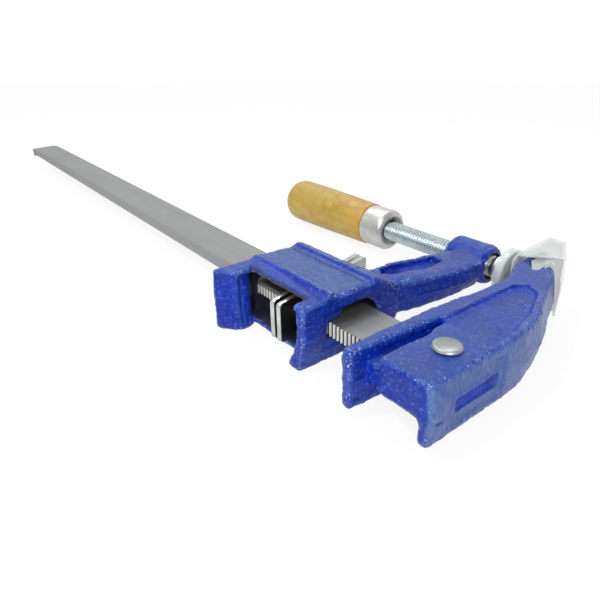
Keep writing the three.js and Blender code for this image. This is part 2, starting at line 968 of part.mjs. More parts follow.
// The wooden grip: a spigot in the ferrule, a slight swell and a rounded end, bored for the tang
function makeGrip() {
  const front = screwLeft - ferruleWall - clearance;
  const shoulder = screwLeft - ferruleLength - clearance;
  const end = screwLeft - ferruleLength - gripLength;
  const spigot = ferruleRadius - ferruleWall - clearance;
  const bore = tangRadius + clearance;
  const boreEnd = screwLeft - ferruleWall - tangLength - clearance;
  const full = gripRadius + gripSwell;
  const profile = [
    [boreEnd, 0],
    [boreEnd, bore],
    [front, bore],
    [front, spigot],
    [shoulder, spigot],
    [shoulder, gripRadius],
    [shoulder - gripLength / 3, gripRadius + gripSwell / 3],
    [end + gripEndRound, full],
  ];
  for (let i = 1; i <= roundSteps; i += 1) {
    const angle = (i / roundSteps) * (Math.PI / 2);
    const x = end + gripEndRound * (1 - Math.sin(angle));
    profile.push([x, full - gripEndRound * (1 - Math.cos(angle))]);
  }
  profile.push([end, 0]);
  return turned(profile.reverse(), screwReach, axisZ);
}

// The ferrule: a pressed cup whose front has a six-sided hole round the screw
function makeFerrule() {
  const back = screwLeft - ferruleLength;
  const inner = ferruleRadius - ferruleWall;
  const cup = turned(
    [
      [back, inner],
      [back, ferruleRadius],
      [screwLeft - ferruleRound, ferruleRadius],
      [screwLeft, ferruleRadius - ferruleRound],
      [screwLeft, 0],
      [screwLeft - ferruleWall, 0],
      [screwLeft - ferruleWall, inner],
      [back, inner],
    ],
    screwReach,
    axisZ,
  );
  const hole = rod(
    screwLeft - ferruleWall - overrun,
    screwLeft + overrun,
    (screwRadius + ferruleHolePlay) / Math.cos(Math.PI / ferruleHoleSides),
    screwReach,
    axisZ,
    ferruleHoleSides,
  );
  return cut(cup, hole);
}

function makeBall() {
  const ball = new THREE.SphereGeometry(ballRadius, roundSides / 2, roundSides / 2);
  ball.translate(ballX, screwReach, axisZ);
  return solid(ball);
}

// The swivel pad: a disc with a hub that closes round the ball and the screw's nose
function makePad() {
  const socket = ballRadius + clearance;
  const mouth = noseRadius + hubPlay;
  return turned(
    [
      [discBack, padRadius],
      [padFront, padRadius],
      [padFront, 0],
      [ballX + socket, 0],
      [ballX + socket, ballRadius / 2],
      [ballX + ballRadius / 2, socket],
      [ballX - ballRadius / 2, mouth],
      [padBack, mouth],
      [padBack, hubRadius - hubBevel],
      [padBack + hubBevel, hubRadius],
      [discBack, hubRadius],
      [discBack, padRadius],
    ],
    screwReach,
    axisZ,
  );
}

function makePadCap() {
  const inner = padRadius + clearance;
  const outer = inner + capWall;
  const back = discBack - clearance;
  const round = capWall;
  return turned(
    [
      [back - capWall, outer - capLip - capWall],
      [back - capWall, outer - round / 2],
      [back - capWall / 2, outer],
      [capFront - round, outer],
      [capFront, outer - round],
      [capFront, 0],
      [padFront + clearance, 0],
      [padFront + clearance, inner],
      [back, inner],
      [back, outer - capLip - capWall],
      [back - capWall, outer - capLip - capWall],
    ],
    screwReach,
    axisZ,
  );
}

// Materials
function material(color, roughness, metalness, opacity = 1) {
  return new THREE.MeshStandardMaterial({ color, roughness, metalness, opacity, transparent: opacity < 1 });
}

const barSteel = material(0xa9a9a4, 0.4, 1);
const bluePaint = material(0x2434a8, 0.35, 0);
const rivetSteel = material(0xc4c4be, 0.3, 1);
const softPlastic = material(0xdfe7e4, 0.3, 0, 0.6);
const plateSteel = material(0xb4b5ac, 0.35, 1);
const springSteel = material(0x8c8c88, 0.35, 1);
const zincSteel = material(0xb9c4c8, 0.3, 1);
const paleWood = material(0xd9b065, 0.5, 0);

const clamp = new THREE.Group();
clamp.add(
  node("bar", makeBar(), barSteel),
  node("fixed_jaw", makeFixedJaw(), bluePaint),
  node("bar_rivet", makeRivet(), rivetSteel),
  node("fixed_jaw_cap", makeJawCap(), softPlastic),
  node("sliding_jaw", makeSlidingJaw(), bluePaint),
  makePlate("clutch_plate_1", plateAtBar),
  makePlate("clutch_plate_2", plateAtBar + platePitch),
  node("clutch_spring", makeSpring(), springSteel),
  node("screw", makeScrew(), zincSteel),
  node("handle_grip", makeGrip(), paleWood),
  node("handle_ferrule", makeFerrule(), zincSteel),
  node("thrust_ball", makeBall(), rivetSteel),
  node("swivel_pad", makePad(), zincSteel),
  node("pad_cap", makePadCap(), softPlastic),
);

export default clamp;
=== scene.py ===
"""An F-clamp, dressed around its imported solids: rough blue castings on a satin steel bar,
a plated screw with a wooden handle, and soft clear pockets on the pad and the jaw's tip.

Metres throughout, but where a comment says mm. X runs along the bar to the fixed jaw, Y along
the jaw arms, Z up. Two numbers for step() or level() are where a climb starts and where it is
full; level() may have two more, which are what it gives there. Three numbers for within() are
the ends of a stretch and the soft distance beyond them.
"""

import math

import bpy
import numpy as np
from mathutils import Matrix, Vector


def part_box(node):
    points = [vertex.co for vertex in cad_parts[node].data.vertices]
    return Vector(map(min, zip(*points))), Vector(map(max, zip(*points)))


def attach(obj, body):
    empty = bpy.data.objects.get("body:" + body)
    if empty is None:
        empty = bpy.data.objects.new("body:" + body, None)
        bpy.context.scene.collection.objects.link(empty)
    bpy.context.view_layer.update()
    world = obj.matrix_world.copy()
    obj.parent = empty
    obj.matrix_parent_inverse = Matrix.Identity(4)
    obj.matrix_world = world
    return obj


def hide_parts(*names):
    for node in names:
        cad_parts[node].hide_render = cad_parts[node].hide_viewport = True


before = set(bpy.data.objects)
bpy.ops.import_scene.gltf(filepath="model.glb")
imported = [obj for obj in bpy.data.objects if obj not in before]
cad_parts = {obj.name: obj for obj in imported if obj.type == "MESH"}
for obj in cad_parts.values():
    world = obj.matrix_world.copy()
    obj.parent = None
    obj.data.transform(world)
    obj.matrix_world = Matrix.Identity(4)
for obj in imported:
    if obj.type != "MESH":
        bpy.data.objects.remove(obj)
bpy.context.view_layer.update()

MM = 0.001
NOTHING = 1e-7  # a length that counts as none
scene = bpy.context.scene


# Places that the frame gives
def middle(node):
    low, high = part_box(node)
    return (low + high) / 2


SCREW_Y = middle("thrust_ball").y
AXIS_Z = middle("thrust_ball").z


# Noise on points, the same on each run
HASH_FACTORS = (73856093, 19349663, 83492791)
HASH_SEED_FACTOR = 2654435761
HASH_STIR = 1274126177
HASH_SHIFTS = (13, 16)
HASH_KEPT = 0x7FFFFFFF
HASH_LEVELS = 0xFFFF


def lattice(cells, seed):
    """A number from 0 to 1 for each whole-numbered cell."""
    a, b, c = (cells[:, i].astype(np.int64) * HASH_FACTORS[i] for i in range(3))
    n = a ^ b ^ c ^ seed * HASH_SEED_FACTOR
    n = (n ^ (n >> HASH_SHIFTS[0])) * HASH_STIR & HASH_KEPT
    n = (n ^ (n >> HASH_SHIFTS[1])) & HASH_LEVELS
    return n / HASH_LEVELS


def noise(points, size, seed):
    """Smooth noise from -1 to 1 whose lumps are about one size apart."""
    p = points / size
    base = np.floor(p)
    f = p - base
    f = f * f * (3 - 2 * f)
    total = np.zeros(len(p))
    for corner in range(8):
        reach = np.array([corner & 1, corner >> 1 & 1, corner >> 2 & 1])
        weight = np.prod(np.where(reach, f, 1 - f), axis=1)
        total += weight * lattice(base + reach, seed)
    return 2 * total - 1


# Masks from 0 to 1
def step(value, start, full):
    """0 up to the start, 1 from the full place on and an even climb between them."""
    return np.clip((value - start) / (full - start), 0, 1)


def within(value, low, high, soft):
    """1 between low and high, falling to 0 over a soft distance outside."""
    return step(value, low - soft, low) * step(value, high + soft, high)


def groove(value, place, width):
    return np.exp(-(((value - place) / width) ** 2))


def nowhere(points):
    return np.zeros(len(points))


def in_mm(points):
    return (points[:, i] / MM for i in range(3))


# Meshes
SMOOTHING = 0.5  # the share of the way to its neighbours that a point goes in a round


def new_piece(name, vertices, faces, smooth=True):
    mesh = bpy.data.meshes.new(name)
    mesh.from_pydata([tuple(v) for v in vertices], [], faces)
    mesh.update()
    made = bpy.data.objects.new(name, mesh)
    scene.collection.objects.link(made)
    for face in mesh.polygons:
        face.use_smooth = smooth
    return made


def copy_of(node, name):
    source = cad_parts[node]
    made = bpy.data.objects.new(name, source.data.copy())
    made.data.materials.clear()
    scene.collection.objects.link(made)
    return made


def apply_modifiers(piece):
    graph = bpy.context.evaluated_depsgraph_get()
    mesh = bpy.data.meshes.new_from_object(piece.evaluated_get(graph))
    piece.modifiers.clear()
    old = piece.data
    piece.data = mesh
    bpy.data.meshes.remove(old)


def points_of(mesh):
    co = np.empty(len(mesh.vertices) * 3)
    mesh.vertices.foreach_get("co", co)
    return co.reshape(-1, 3)


def normals_of(mesh):
    n = np.empty(len(mesh.vertices) * 3, np.float32)
    mesh.vertex_normals.foreach_get("vector", n)
    return n.reshape(-1, 3).astype(float)


def set_points(mesh, points):
    mesh.vertices.foreach_set("co", points.ravel())
    mesh.update()


def set_shade(mesh, name, values):
    """A number for each vertex that a material reads."""
    layer = mesh.attributes.new(name, "FLOAT", "POINT")
    layer.data.foreach_set("value", values.astype(np.float32))


def edges_of(mesh):
    e = np.empty(len(mesh.edges) * 2, np.int32)
    mesh.edges.foreach_get("vertices", e)
    return e.reshape(-1, 2)


def smoothed(points, edges, rounds):
    """Points drawn towards the mean of their neighbours."""
    a, b = edges[:, 0], edges[:, 1]
    count = np.bincount(a, minlength=len(points)) + np.bincount(b, minlength=len(points))
    count = np.maximum(count, 1)[:, None]
    for _ in range(rounds):
        total = np.empty_like(points)
        for axis in range(points.shape[1]):
            total[:, axis] = np.bincount(a, points[b, axis], len(points))
            total[:, axis] += np.bincount(b, points[a, axis], len(points))
        points = points + SMOOTHING * (total / count - points)
    return points


def blurred(values, edges, rounds):
    return smoothed(values[:, None], edges, rounds)[:, 0]


def kept_inside(points, node):
    low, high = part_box(node)
    return np.clip(points, np.array(low), np.array(high))


def keep_piece_inside(piece, node):
    set_points(piece.data, kept_inside(points_of(piece.data), node))


# The castings: the solid remeshed, worn round, then lumped and pitted like enamelled iron
VOXEL = 0.42 * MM
WEAR_ROUNDS = 8
EDGE_ROUNDS = 30  # more of them on outer edges
SOFT_ROUNDS = 110  # and more again where a shape is melted round
WORN_FALL = (0.02 * MM, 0.2 * MM)  # how far a point has to draw back to count as an outer edge
WORN_BLUR = 4
EDGE_FALL = 0.34 * MM  # how far a square edge draws back as it wears round
EDGE_BLUR = 3
NEAR_BLUR = 12
NEAR_EDGE = (0.1, 0.45)


def worn_round(mesh, edges, keep, soft):
    """Wears a mesh round. Gives its points and how convex each one was."""
    light = smoothed(points_of(mesh), edges, WEAR_ROUNDS)
    set_points(mesh, light)
    heavy = smoothed(light, edges, EDGE_ROUNDS)
    fall = np.einsum("ij,ij->i", light - heavy, normals_of(mesh))
    edge = step(fall, *WORN_FALL) * (1 - keep(light))
    edge = blurred(edge, edges, WORN_BLUR)
    worn = light + (heavy - light) * edge[:, None]
    worn += (smoothed(heavy, edges, SOFT_ROUNDS) - worn) * soft(light)[:, None]
    set_points(mesh, worn)
    return worn, blurred(fall / EDGE_FALL, edges, EDGE_BLUR)


# The skin's relief: how high each form of it stands and how wide it is. A level is what is
# taken off its noise, so that most of the skin lies a little below the worn shape.
LUMP = 0.25 * MM
LUMP_SIZE = 7.5 * MM
LUMP_SHARE = 0.6
SMALL_LUMP_SIZE = 3.6 * MM
SMALL_LUMP_SHARE = 0.4
LUMP_LEVEL = 0.7
KNOT = 0.11 * MM
KNOT_SIZE = 2.1 * MM
KNOT_LEVEL = 0.5
GRAIN = 0.1 * MM
GRAIN_SIZE = 0.9 * MM
GRAIN_LEVEL = 0.5
ROLL = 0.14 * MM  # along the edges
ROLL_SIZE = 1.3 * MM
ROLL_LEVEL = 0.4
PIT = 0.3 * MM
PIT_SIZE = 1.5 * MM
PIT_PEAK = (0.66, 0.86)
PIT_PATCH_SIZE = 8 * MM
PIT_PATCH = (0.1, 0.4)
FLASH = 0.3 * MM  # the ridge of the parting line
FLASH_WIDTH = 0.4 * MM
FLASH_UPRIGHT = (0.6, 0.2)  # how little a face may look up or down
FLASH_BREAK_SIZE = 5 * MM
FLASH_BREAK = (-0.6, 0.2)


def skin(points, normal, near, seed):
    """How far the cast skin stands out of the worn shape, and where its pits are."""
    lumps = noise(points, LUMP_SIZE, seed) * LUMP_SHARE
    lumps += noise(points, SMALL_LUMP_SIZE, seed + 1) * SMALL_LUMP_SHARE
    knots = noise(points, KNOT_SIZE, seed + 2)
    rolls = noise(points, ROLL_SIZE, seed + 3) * near
    grain = noise(points, GRAIN_SIZE, seed + 4)
    pits = step(noise(points, PIT_SIZE, seed + 5), *PIT_PEAK)
    pits *= step(noise(points, PIT_PATCH_SIZE, seed + 6), *PIT_PATCH)
    seam = groove(points[:, 2], AXIS_Z, FLASH_WIDTH) * step(np.abs(normal[:, 2]), *FLASH_UPRIGHT)
    seam *= step(noise(points, FLASH_BREAK_SIZE, seed + 7), *FLASH_BREAK)
    push = LUMP * (lumps - LUMP_LEVEL) + KNOT * (knots - KNOT_LEVEL)
    push += GRAIN * (grain - GRAIN_LEVEL)
    push += ROLL * (rolls - ROLL_LEVEL * near) - PIT * pits + FLASH * seam
    return push, pits


# What wear took off is given back, but not where other pieces lie close. Places in mm.
REGROWTH = 0.65 * MM
BAR_Y = (-11, 11, 1)
BAR_Z = (6, 18, 1)
PADS_Y = (62, 66)  # the screw's boss, and the jaw's tip under its pocket
TIP_X = (36, 38)
BOSS_END = (0.4, 0.8)  # how far a face has to look along X
PLATES_X = (-19.3, 19.3, 0.5)
PLATES_Y = (16, 14)
PLATE_TAILS_X = (-10, 8, 0.5)
PLATE_TAILS_Y = (33, 31)
PLATES_FOOT_Z = (2.8, 5.2)
PLATES_TOP_Z = (21.5, 21)


def kept_clear(points, normal):
    """Where the shape lies by the bar, the pad or the pocket, and where by the plates."""
    x, y, z = in_mm(points)
    bar = within(y, *BAR_Y) * within(z, *BAR_Z)
    end = np.maximum(step(x, *TIP_X), step(np.abs(normal[:, 0]), *BOSS_END))
    head = within(x, *PLATES_X) * step(y, *PLATES_Y)
    tails = within(x, *PLATE_TAILS_X) * step(y, *PLATE_TAILS_Y)
    plates = np.maximum(head, tails) * (step(z, *PLATES_FOOT_Z) * step(z, *PLATES_TOP_Z))
    return np.maximum(bar, step(y, *PADS_Y) * end), plates


def casting(node, name, seed, marks, keep=nowhere, soft=nowhere):
    """The casting of a node. marks gives what is carved in it and its shades by place,
    keep the share by which an outer edge stays crisp, soft that by which it is melted."""
    piece = copy_of(node, name)
    remesh = piece.modifiers.new("voxels", "REMESH")
    remesh.mode = "VOXEL"
    remesh.voxel_size = VOXEL
    apply_modifiers(piece)
    mesh = piece.data
    edges = edges_of(mesh)
    worn, convex = worn_round(mesh, edges, keep, soft)
    normal = normals_of(mesh)
    near = step(blurred(np.abs(convex), edges, NEAR_BLUR), *NEAR_EDGE)
    push, pits = skin(worn, normal, near, seed)
    clear, plates = kept_clear(worn, normal)
    carved, shades = marks(worn, normal)
    push += REGROWTH * (1 - np.maximum(clear, plates))
    push -= REGROWTH * shades["inside"] * (1 - plates)
    set_points(mesh, kept_inside(worn + normal * (push + carved)[:, None], node))
    shades.update(convex=convex - shades.pop("painted_hollow_shade"), pits=pits)
    for shade, values in shades.items():
        set_shade(mesh, shade, values)
    for face in mesh.polygons:
        face.use_smooth = True
    return piece


# Marks on both castings. Places in mm.
LEVEL_FACE = (0.75, 0.97)  # how far a face has to look up to gather dust and a painted sheen
FEET_SOFT = 0.5
FEET_Z = (4.5, 2)
FEET_Y = (-17, -20)

# The sliding jaw's left leg has a panel with a rib behind it on its slanted face
LEG_SLANT = (0.4, 0.9)  # how much further the face looks along X than along Y
LEG_X = (-11, -12)
LEG_Z = (3.5, 19.5, 2)
PANEL_Y = -22.7
PANEL_WIDTH = 0.9
PANEL_DEPTH = 0.9
PANEL_Z = (5, 17, 2.5)
PANEL_SHADE = 0.3
RIB_Y = -20.4
RIB_WIDTH = 0.5
RIB_HEIGHT = 0.45
NECK_Y = -19.1
NECK_WIDTH = 0.6
NECK_DEPTH = 0.5

# Its roof has two creases, and its arm swells at the root
ROOF_FACE = (0.5, 0.85)
ROOF_Z = (20.5, 21.5)
ROOF_X = (-20, 20.5, 1.5)
CREASE_FRONT_Y = -7.8  # where the roof starts on the left
CREASE_SLANT = 0.075
CREASE_BACK_Y = 7.0
CREASE_WIDTH = 0.85
CREASE_DEPTH = 0.5
CREASE_SHADE = 0.7
ARM_ROOT_Y = (13, 18, 24, 31, 38, 42)
ARM_ROOT_RISE = (0, 0.6, 1.5, 1.4, 0.6, 0)  # of the arm's top above the solid's
ARM_FACE = (0.2, 0.6)
ARM_X = (1, 3)
ARM_TOP_Z = (15.8, 16.6)

# Its window, arch and bore get painted shade, its level faces and most of all its roof dust and a
# painted sheen, and its right face is rubbed at the foot
RAGGED = 0.5
RAGGED_SIZE = 2 * MM
RAGGED_SEED = 91
CAVITY_X = (-18.2, 18.2, 0.5)
CAVITY_Z = (3.7, 22.0, 0.4)
CAVITY_FRONT_Y = (-15.4, -14.2)
CAVITY_BACK_Y = (14, 12)
ARCH_X = (17, 20.6, 0.6)
ARCH_Y = (-9.7, 13.2, 0.3)
ARCH_Z = (8.6, 18.6, 0.3)
BORE_RADIUS = (5.7, 5.1)
HEAD_DUST_AND_SHEEN = 0.32
ROOF_DUST_AND_SHEEN = 0.5
DUST_AND_SHEEN_ROOF_Y = (-8, 13, 3)
DUST_AND_SHEEN_ROOF_Z = (19, 21)
RUB = 0.4
RUBBED_FACE = (0.75, 0.95)
RUBBED_X = (20, 22)
RUBBED_Y = (40, 30)
RUBBED_Z = (9, 5)


def sliding_jaw_marks(points, normal):
    """The sliding jaw's panel on its left leg, the painted shade inside it, and the dust and
    painted sheen on its roof.
    """
    x, y, z = in_mm(points)
    leg = step(normal[:, 0] - normal[:, 1], *LEG_SLANT) * step(x, *LEG_X) * within(z, *LEG_Z)
    panel = leg * groove(y, PANEL_Y, PANEL_WIDTH) * within(z, *PANEL_Z)
    carved = RIB_HEIGHT * leg * groove(y, RIB_Y, RIB_WIDTH) - PANEL_DEPTH * panel
    carved -= NECK_DEPTH * leg * groove(y, NECK_Y, NECK_WIDTH)
    top = step(normal[:, 2], *ROOF_FACE) * step(z, *ROOF_Z) * within(x, *ROOF_X)
    front_y = CREASE_FRONT_Y - CREASE_SLANT * (x - ROOF_X[0])
    creases = np.maximum(groove(y, front_y, CREASE_WIDTH), groove(y, CREASE_BACK_Y, CREASE_WIDTH))
    carved -= CREASE_DEPTH * top * creases
    rise = np.interp(y, ARM_ROOT_Y, ARM_ROOT_RISE) * step(normal[:, 2], *ARM_FACE)
    carved += rise * step(x, *ARM_X) * step(z, *ARM_TOP_Z)
    # the window, the arch and the bore are marked for painted shade
    ragged = y + RAGGED * noise(points, RAGGED_SIZE, RAGGED_SEED)
    cavity = within(x, *CAVITY_X) * within(z, *CAVITY_Z)
    cavity *= step(ragged, *CAVITY_FRONT_Y) * step(y, *CAVITY_BACK_Y)
    arch = within(x, *ARCH_X) * within(y, *ARCH_Y) * within(z, *ARCH_Z)
    bore = step(np.hypot(y - SCREW_Y / MM, z - AXIS_Z / MM), *BORE_RADIUS)
    roof = within(y, *DUST_AND_SHEEN_ROOF_Y) * step(z, *DUST_AND_SHEEN_ROOF_Z)
    rubbed = step(normal[:, 0], *RUBBED_FACE) * step(x, *RUBBED_X)
    rubbed *= step(y, *RUBBED_Y) * step(z, *RUBBED_Z)
    return MM * carved, {
        "inside": np.maximum(np.maximum(cavity, arch), bore),
        "dust_and_sheen": step(normal[:, 2], *LEVEL_FACE) * (HEAD_DUST_AND_SHEEN + ROOF_DUST_AND_SHEEN * roof),
        "painted_hollow_shade": CREASE_SHADE * top * creases + PANEL_SHADE * panel,
        "bare": RUB * rubbed,
    }


# The fixed jaw's rear face is ground, with a recess under a lip. Its edge is bowed.
# The ground face is lighter partly as bare metal and partly as a painted sheen; the recess gets
# painted shade.
REAR_Y = (-23, 13, 22, 35, 50, 60.5, 66, 70.6, 76)
REAR_X = (69, 69, 68.5, 65.5, 59, 55, 53.1, 50.5, 46)
REAR_BOW = 1.6
REAR_MIDDLE_Z = 12
REAR_HALF_HEIGHT = 9.5
REAR_EDGE = (-1.5, -0.9)  # how far inside the face the grinding starts
REAR_UPRIGHT = (0.75, 0.45)
LIP_HEIGHT = 0.45
LIP_Y = (-9.5, 9.5, 1)
LIP_Z = 14.9
LIP_WIDTH = 0.5
RECESS_DEPTH = 0.6
RECESS_X = (67, 68.5)
RECESS_Y = (-8.6, 8.6, 0.4)
RECESS_Z = (10.2, 13.8, 0.3)
RECESS_FLOOR = (0.3, 0.7)  # how far a face has to look along X
RECESS_CEILING = (0.2, 0.6)  # how far a face has to look down
CEILING_SHADE = 0.8
RECESS_SHADE = 0.3
RECESS_PAINT = 0.55  # of the enamel's full colour
CRISP_X = (66.5, 68)
CRISP_Y = (-10, 10, 1)
CRISP_Z = (9, 15, 1)
JAW_DUST_AND_SHEEN = 0.34
TIP_SOFT = 0.85
TIP_Y = (64, 68)


def recess_area(points):
    x, y, z = in_mm(points)
    return step(x, *CRISP_X) * within(y, *CRISP_Y) * within(z, *CRISP_Z)


def fixed_jaw_marks(points, normal):
    """The fixed jaw's ground rear face, lighter as bare metal and as a painted sheen, with the
    recess in it in painted shade and the lip above that.
    """
    x, y, z = in_mm(points)
    bow = REAR_BOW * (1 - np.abs(z - REAR_MIDDLE_Z) / REAR_HALF_HEIGHT)
    rear = step(x - (np.interp(y, REAR_Y, REAR_X) + bow), *REAR_EDGE)
    rear *= step(np.abs(normal[:, 2]), *REAR_UPRIGHT)
    lip = rear * within(y, *LIP_Y) * groove(z, LIP_Z, LIP_WIDTH)
    recess = within(y, *RECESS_Y) * within(z, *RECESS_Z) * step(x, *RECESS_X)
    carved = LIP_HEIGHT * lip - RECESS_DEPTH * recess * step(normal[:, 0], *RECESS_FLOOR)
    return MM * carved, {
        "inside": CEILING_SHADE * recess * step(-normal[:, 2], *RECESS_CEILING),
        "dust_and_sheen": step(normal[:, 2], *LEVEL_FACE) * JAW_DUST_AND_SHEEN,
        "painted_hollow_shade": RECESS_SHADE * recess,
        "bare": rear * (1 - RECESS_PAINT * recess),
    }


def jaw_tip_and_feet(points):
    _, y, z = in_mm(points)
    return TIP_SOFT * step(y, *TIP_Y) + FEET_SOFT * step(z, *FEET_Z) * step(y, *FEET_Y)


# Turned pieces
TURNED_SIDES = 96
ARC_STEPS = 12
ROUND_REACH = 0.45  # of an edge, the most that a corner's round takes


def turned_piece(name, profile, sides=TURNED_SIDES):
    """A closed profile of (x, radius) pairs turned about the screw's axis.
    A radius may be a function of the angle."""
    angles = np.arange(sides) * 2 * math.pi / sides
    vertices = []
    rows = []
    for x, radius in profile:
        if not callable(radius) and radius < NOTHING:
            rows.append([len(vertices)])
            vertices.append((x, SCREW_Y, AXIS_Z))
            continue
        r = radius(angles) if callable(radius) else np.full(sides, radius)
        rows.append(range(len(vertices), len(vertices) + sides))
        across, up = SCREW_Y + r * np.cos(angles), AXIS_Z + r * np.sin(angles)
        vertices.extend(map(tuple, np.stack([np.full(sides, x), across, up], 1)))
    faces = []
    for i, first in enumerate(rows):
        second = rows[(i + 1) % len(rows)]
        if len(first) == 1 and len(second) == 1:
            continue
        for k in range(sides):
            n = (k + 1) % sides
            if len(first) == 1:
                faces.append((first[0], second[n], second[k]))
            elif len(second) == 1:
                faces.append((first[k], first[n], second[0]))
            else:
                faces.append((first[k], first[n], second[n], second[k]))
    return outward(new_piece(name, vertices, faces))


def outward(piece):
    """Turns the faces so that they point out of the closed piece."""
    mesh = piece.data
    mesh.calc_loop_triangles()
    co = points_of(mesh)
    t = np.array([tuple(l.vertices) for l in mesh.loop_triangles])
    volume = np.einsum("ij,ij->i", co[t[:, 0]], np.cross(co[t[:, 1]], co[t[:, 2]])).sum()
    if volume < 0:
        mesh.flip_normals()
    return piece


def rounded(profile, sizes, steps):
    """A closed profile with each corner off the axis rounded by its own size."""
    made = []
    count = len(profile)
    for i, size in enumerate(sizes):
        before, here, after = (Vector(profile[(i + k) % count]) for k in (-1, 0, 1))
        if size == 0 or here.y < NOTHING:
            made.append(tuple(here))
            continue
        a, b = before - here, after - here
        reach = min(size, a.length * ROUND_REACH, b.length * ROUND_REACH)
        a, b = a.normalized() * reach, b.normalized() * reach
        for k in range(steps + 1):
            t = k / steps
            made.append(tuple(here + a * (1 - t) ** 2 + b * t**2))
    return made


def end_round(end, outer, size, way):
    """A quarter circle from the rim to the end, which looks along X where way is 1."""
    made = []
    for i in range(ARC_STEPS + 1):
        a = math.pi / 2 * i / ARC_STEPS
        made.append((end - way * size * (1 - math.sin(a)), outer - size * (1 - math.cos(a))))
    return made


# Materials. A noise is its size, detail and roughness, and may have a stretch and a distortion.
# A bump is its depth and its strength.
WHOLE = (0, 1)
MIDDLE = (0.3, 0.7)  # where most of a noise lies


class Wiring:
    """Helps to join the nodes of a shader."""

    def __init__(self, tree):
        self.tree = tree

    def give(self, value, socket):
        """Links a node's output to a socket, or sets a number or colour on it."""
        if isinstance(value, bpy.types.NodeSocket):
            self.tree.links.new(value, socket)
        else:
            socket.default_value = value

    def math(self, operation, a, b, clamp=False):
        node = self.tree.nodes.new("ShaderNodeMath")
        node.operation = operation
        node.use_clamp = clamp
        self.give(a, node.inputs[0])
        self.give(b, node.inputs[1])
        return node.outputs["Value"]

    def product(self, first, *others):
        for value in others:
            first = self.math("MULTIPLY", first, value)
        return first

    def level(self, value, start, full, to_start=0.0, to_full=1.0):
        node = self.tree.nodes.new("ShaderNodeMapRange")
        node.inputs["From Min"].default_value = start
        node.inputs["From Max"].default_value = full
        node.inputs["To Min"].default_value = to_start
        node.inputs["To Max"].default_value = to_full
        self.give(value, node.inputs["Value"])
        return node.outputs["Result"]


class Paint(Wiring):
    """A material being made: its nodes and the shader that they feed."""

    def __init__(self, name):
        self.material = bpy.data.materials.new(name)
        self.material.use_nodes = True
        super().__init__(self.material.node_tree)
        self.shader = self.tree.nodes["Principled BSDF"]
        self.place = self.tree.nodes.new("ShaderNodeTexCoord").outputs["Object"]

    def noise(self, size, detail, rough, stretch=None, distortion=0.0):
        place = self.place
        if stretch:
            mapping = self.tree.nodes.new("ShaderNodeMapping")
            mapping.inputs["Scale"].default_value = stretch
            self.give(place, mapping.inputs["Vector"])
            place = mapping.outputs["Vector"]
        node = self.tree.nodes.new("ShaderNodeTexNoise")
        node.inputs["Scale"].default_value = 1 / size
        node.inputs["Detail"].default_value = detail
        node.inputs["Roughness"].default_value = rough
        node.inputs["Distortion"].default_value = distortion
        self.give(place, node.inputs["Vector"])
        return node.outputs["Fac"]

    def axis(self, name, vector=None):
        """One axis of a vector, which is the place on the piece where none is given."""
        node = self.tree.nodes.new("ShaderNodeSeparateXYZ")
        self.give(vector or self.place, node.inputs["Vector"])
        return node.outputs[name]

    def facing(self, name):
        return self.axis(name, self.tree.nodes.new("ShaderNodeNewGeometry").outputs["Normal"])

    def attribute(self, name):
        node = self.tree.nodes.new("ShaderNodeAttribute")
        node.attribute_name = name
        return node.outputs["Fac"]

    def mix(self, share, a, b):
        node = self.tree.nodes.new("ShaderNodeMix")
        node.data_type = "RGBA"
        self.give(share, node.inputs["Factor"])
        self.give(a, node.inputs["A"])
        self.give(b, node.inputs["B"])
        return node.outputs["Result"]

    def layered(self, tone, masks, layers):
        """Lays colours over a tone. A layer has the name of its mask, the stretch over which
        it comes in, its share when it is full, and its colour."""
        for mask, stretch, share, colour in layers:
            tone = self.mix(self.level(masks[mask], *stretch, 0, share), tone, colour)
        return tone

    def bump(self, height, depth, strength):
        node = self.tree.nodes.new("ShaderNodeBump")
        node.inputs["Strength"].default_value = strength
        node.inputs["Distance"].default_value = depth
        self.give(height, node.inputs["Height"])
        socket = self.shader.inputs["Normal"]
        if socket.is_linked:
            self.give(socket.links[0].from_socket, node.inputs["Normal"])
        self.give(node.outputs["Normal"], socket)

    def finish(self, tone, rough_by, rough, **numbers):
        """The colour, a roughness that follows a noise, and the numbers that are even."""
        self.give(tone, self.shader.inputs["Base Color"])
        self.give(self.level(rough_by, *MIDDLE, *rough), self.shader.inputs["Roughness"])
        for name, value in numbers.items():
            self.shader.inputs[name.replace("_", " ")].default_value = value
        return self.material


def srgb(red, green, blue):
    """A colour written as it looks on a screen, from 0 to 255."""

    def linear(c):
        c /= 255
        return c / 12.92 if c <= 0.04045 else ((c + 0.055) / 1.055) ** 2.4

    return (linear(red), linear(green), linear(blue), 1.0)


ENAMEL_CLOUD = (11 * MM, 4, 0.6)
ENAMEL_PATCHES = (4 * MM, 3, 0.6)
ENAMEL_FINE = (0.5 * MM, 3, 0.6)
ENAMEL_WIGGLE = (1.3 * MM, 4, 0.65, (0.35, 1, 1), 0.5)
ENAMEL_SCRATCHES = (0.8 * MM, 4, 0.6, (1, 1, 0.1))
ENAMEL_SPECKS = (1.0 * MM, 3, 0.6)
ENAMEL_RELIEF = (2.4 * MM, 5, 0.7)
ENAMEL_RELIEF_BUMP = (0.6 * MM, 0.9)
ENAMEL_FINE_BUMP = (0.08 * MM, 0.6)
ENAMEL_TONES = (srgb(3, 34, 126), srgb(6, 46, 154))
ENAMEL_ROUGH = (0.24, 0.4)
DUST_AND_SHEEN_WIGGLE = (0.3, 0.6, 0.4, 1.0)
RUB_EDGE = (0.35, 0.8)
RUB_CLOUD = (0.4, 0.6)
CHIP_AND_GLINT_EDGE = (0.35, 0.75)
CHIP_AND_GLINT_FINE = (0.57, 0.63)
CHIP_AND_GLINT_PATCHES = (0.42, 0.58, 0.15, 1.0)
GRINDING = (0.3, 0.65, 0.2, 0.85)
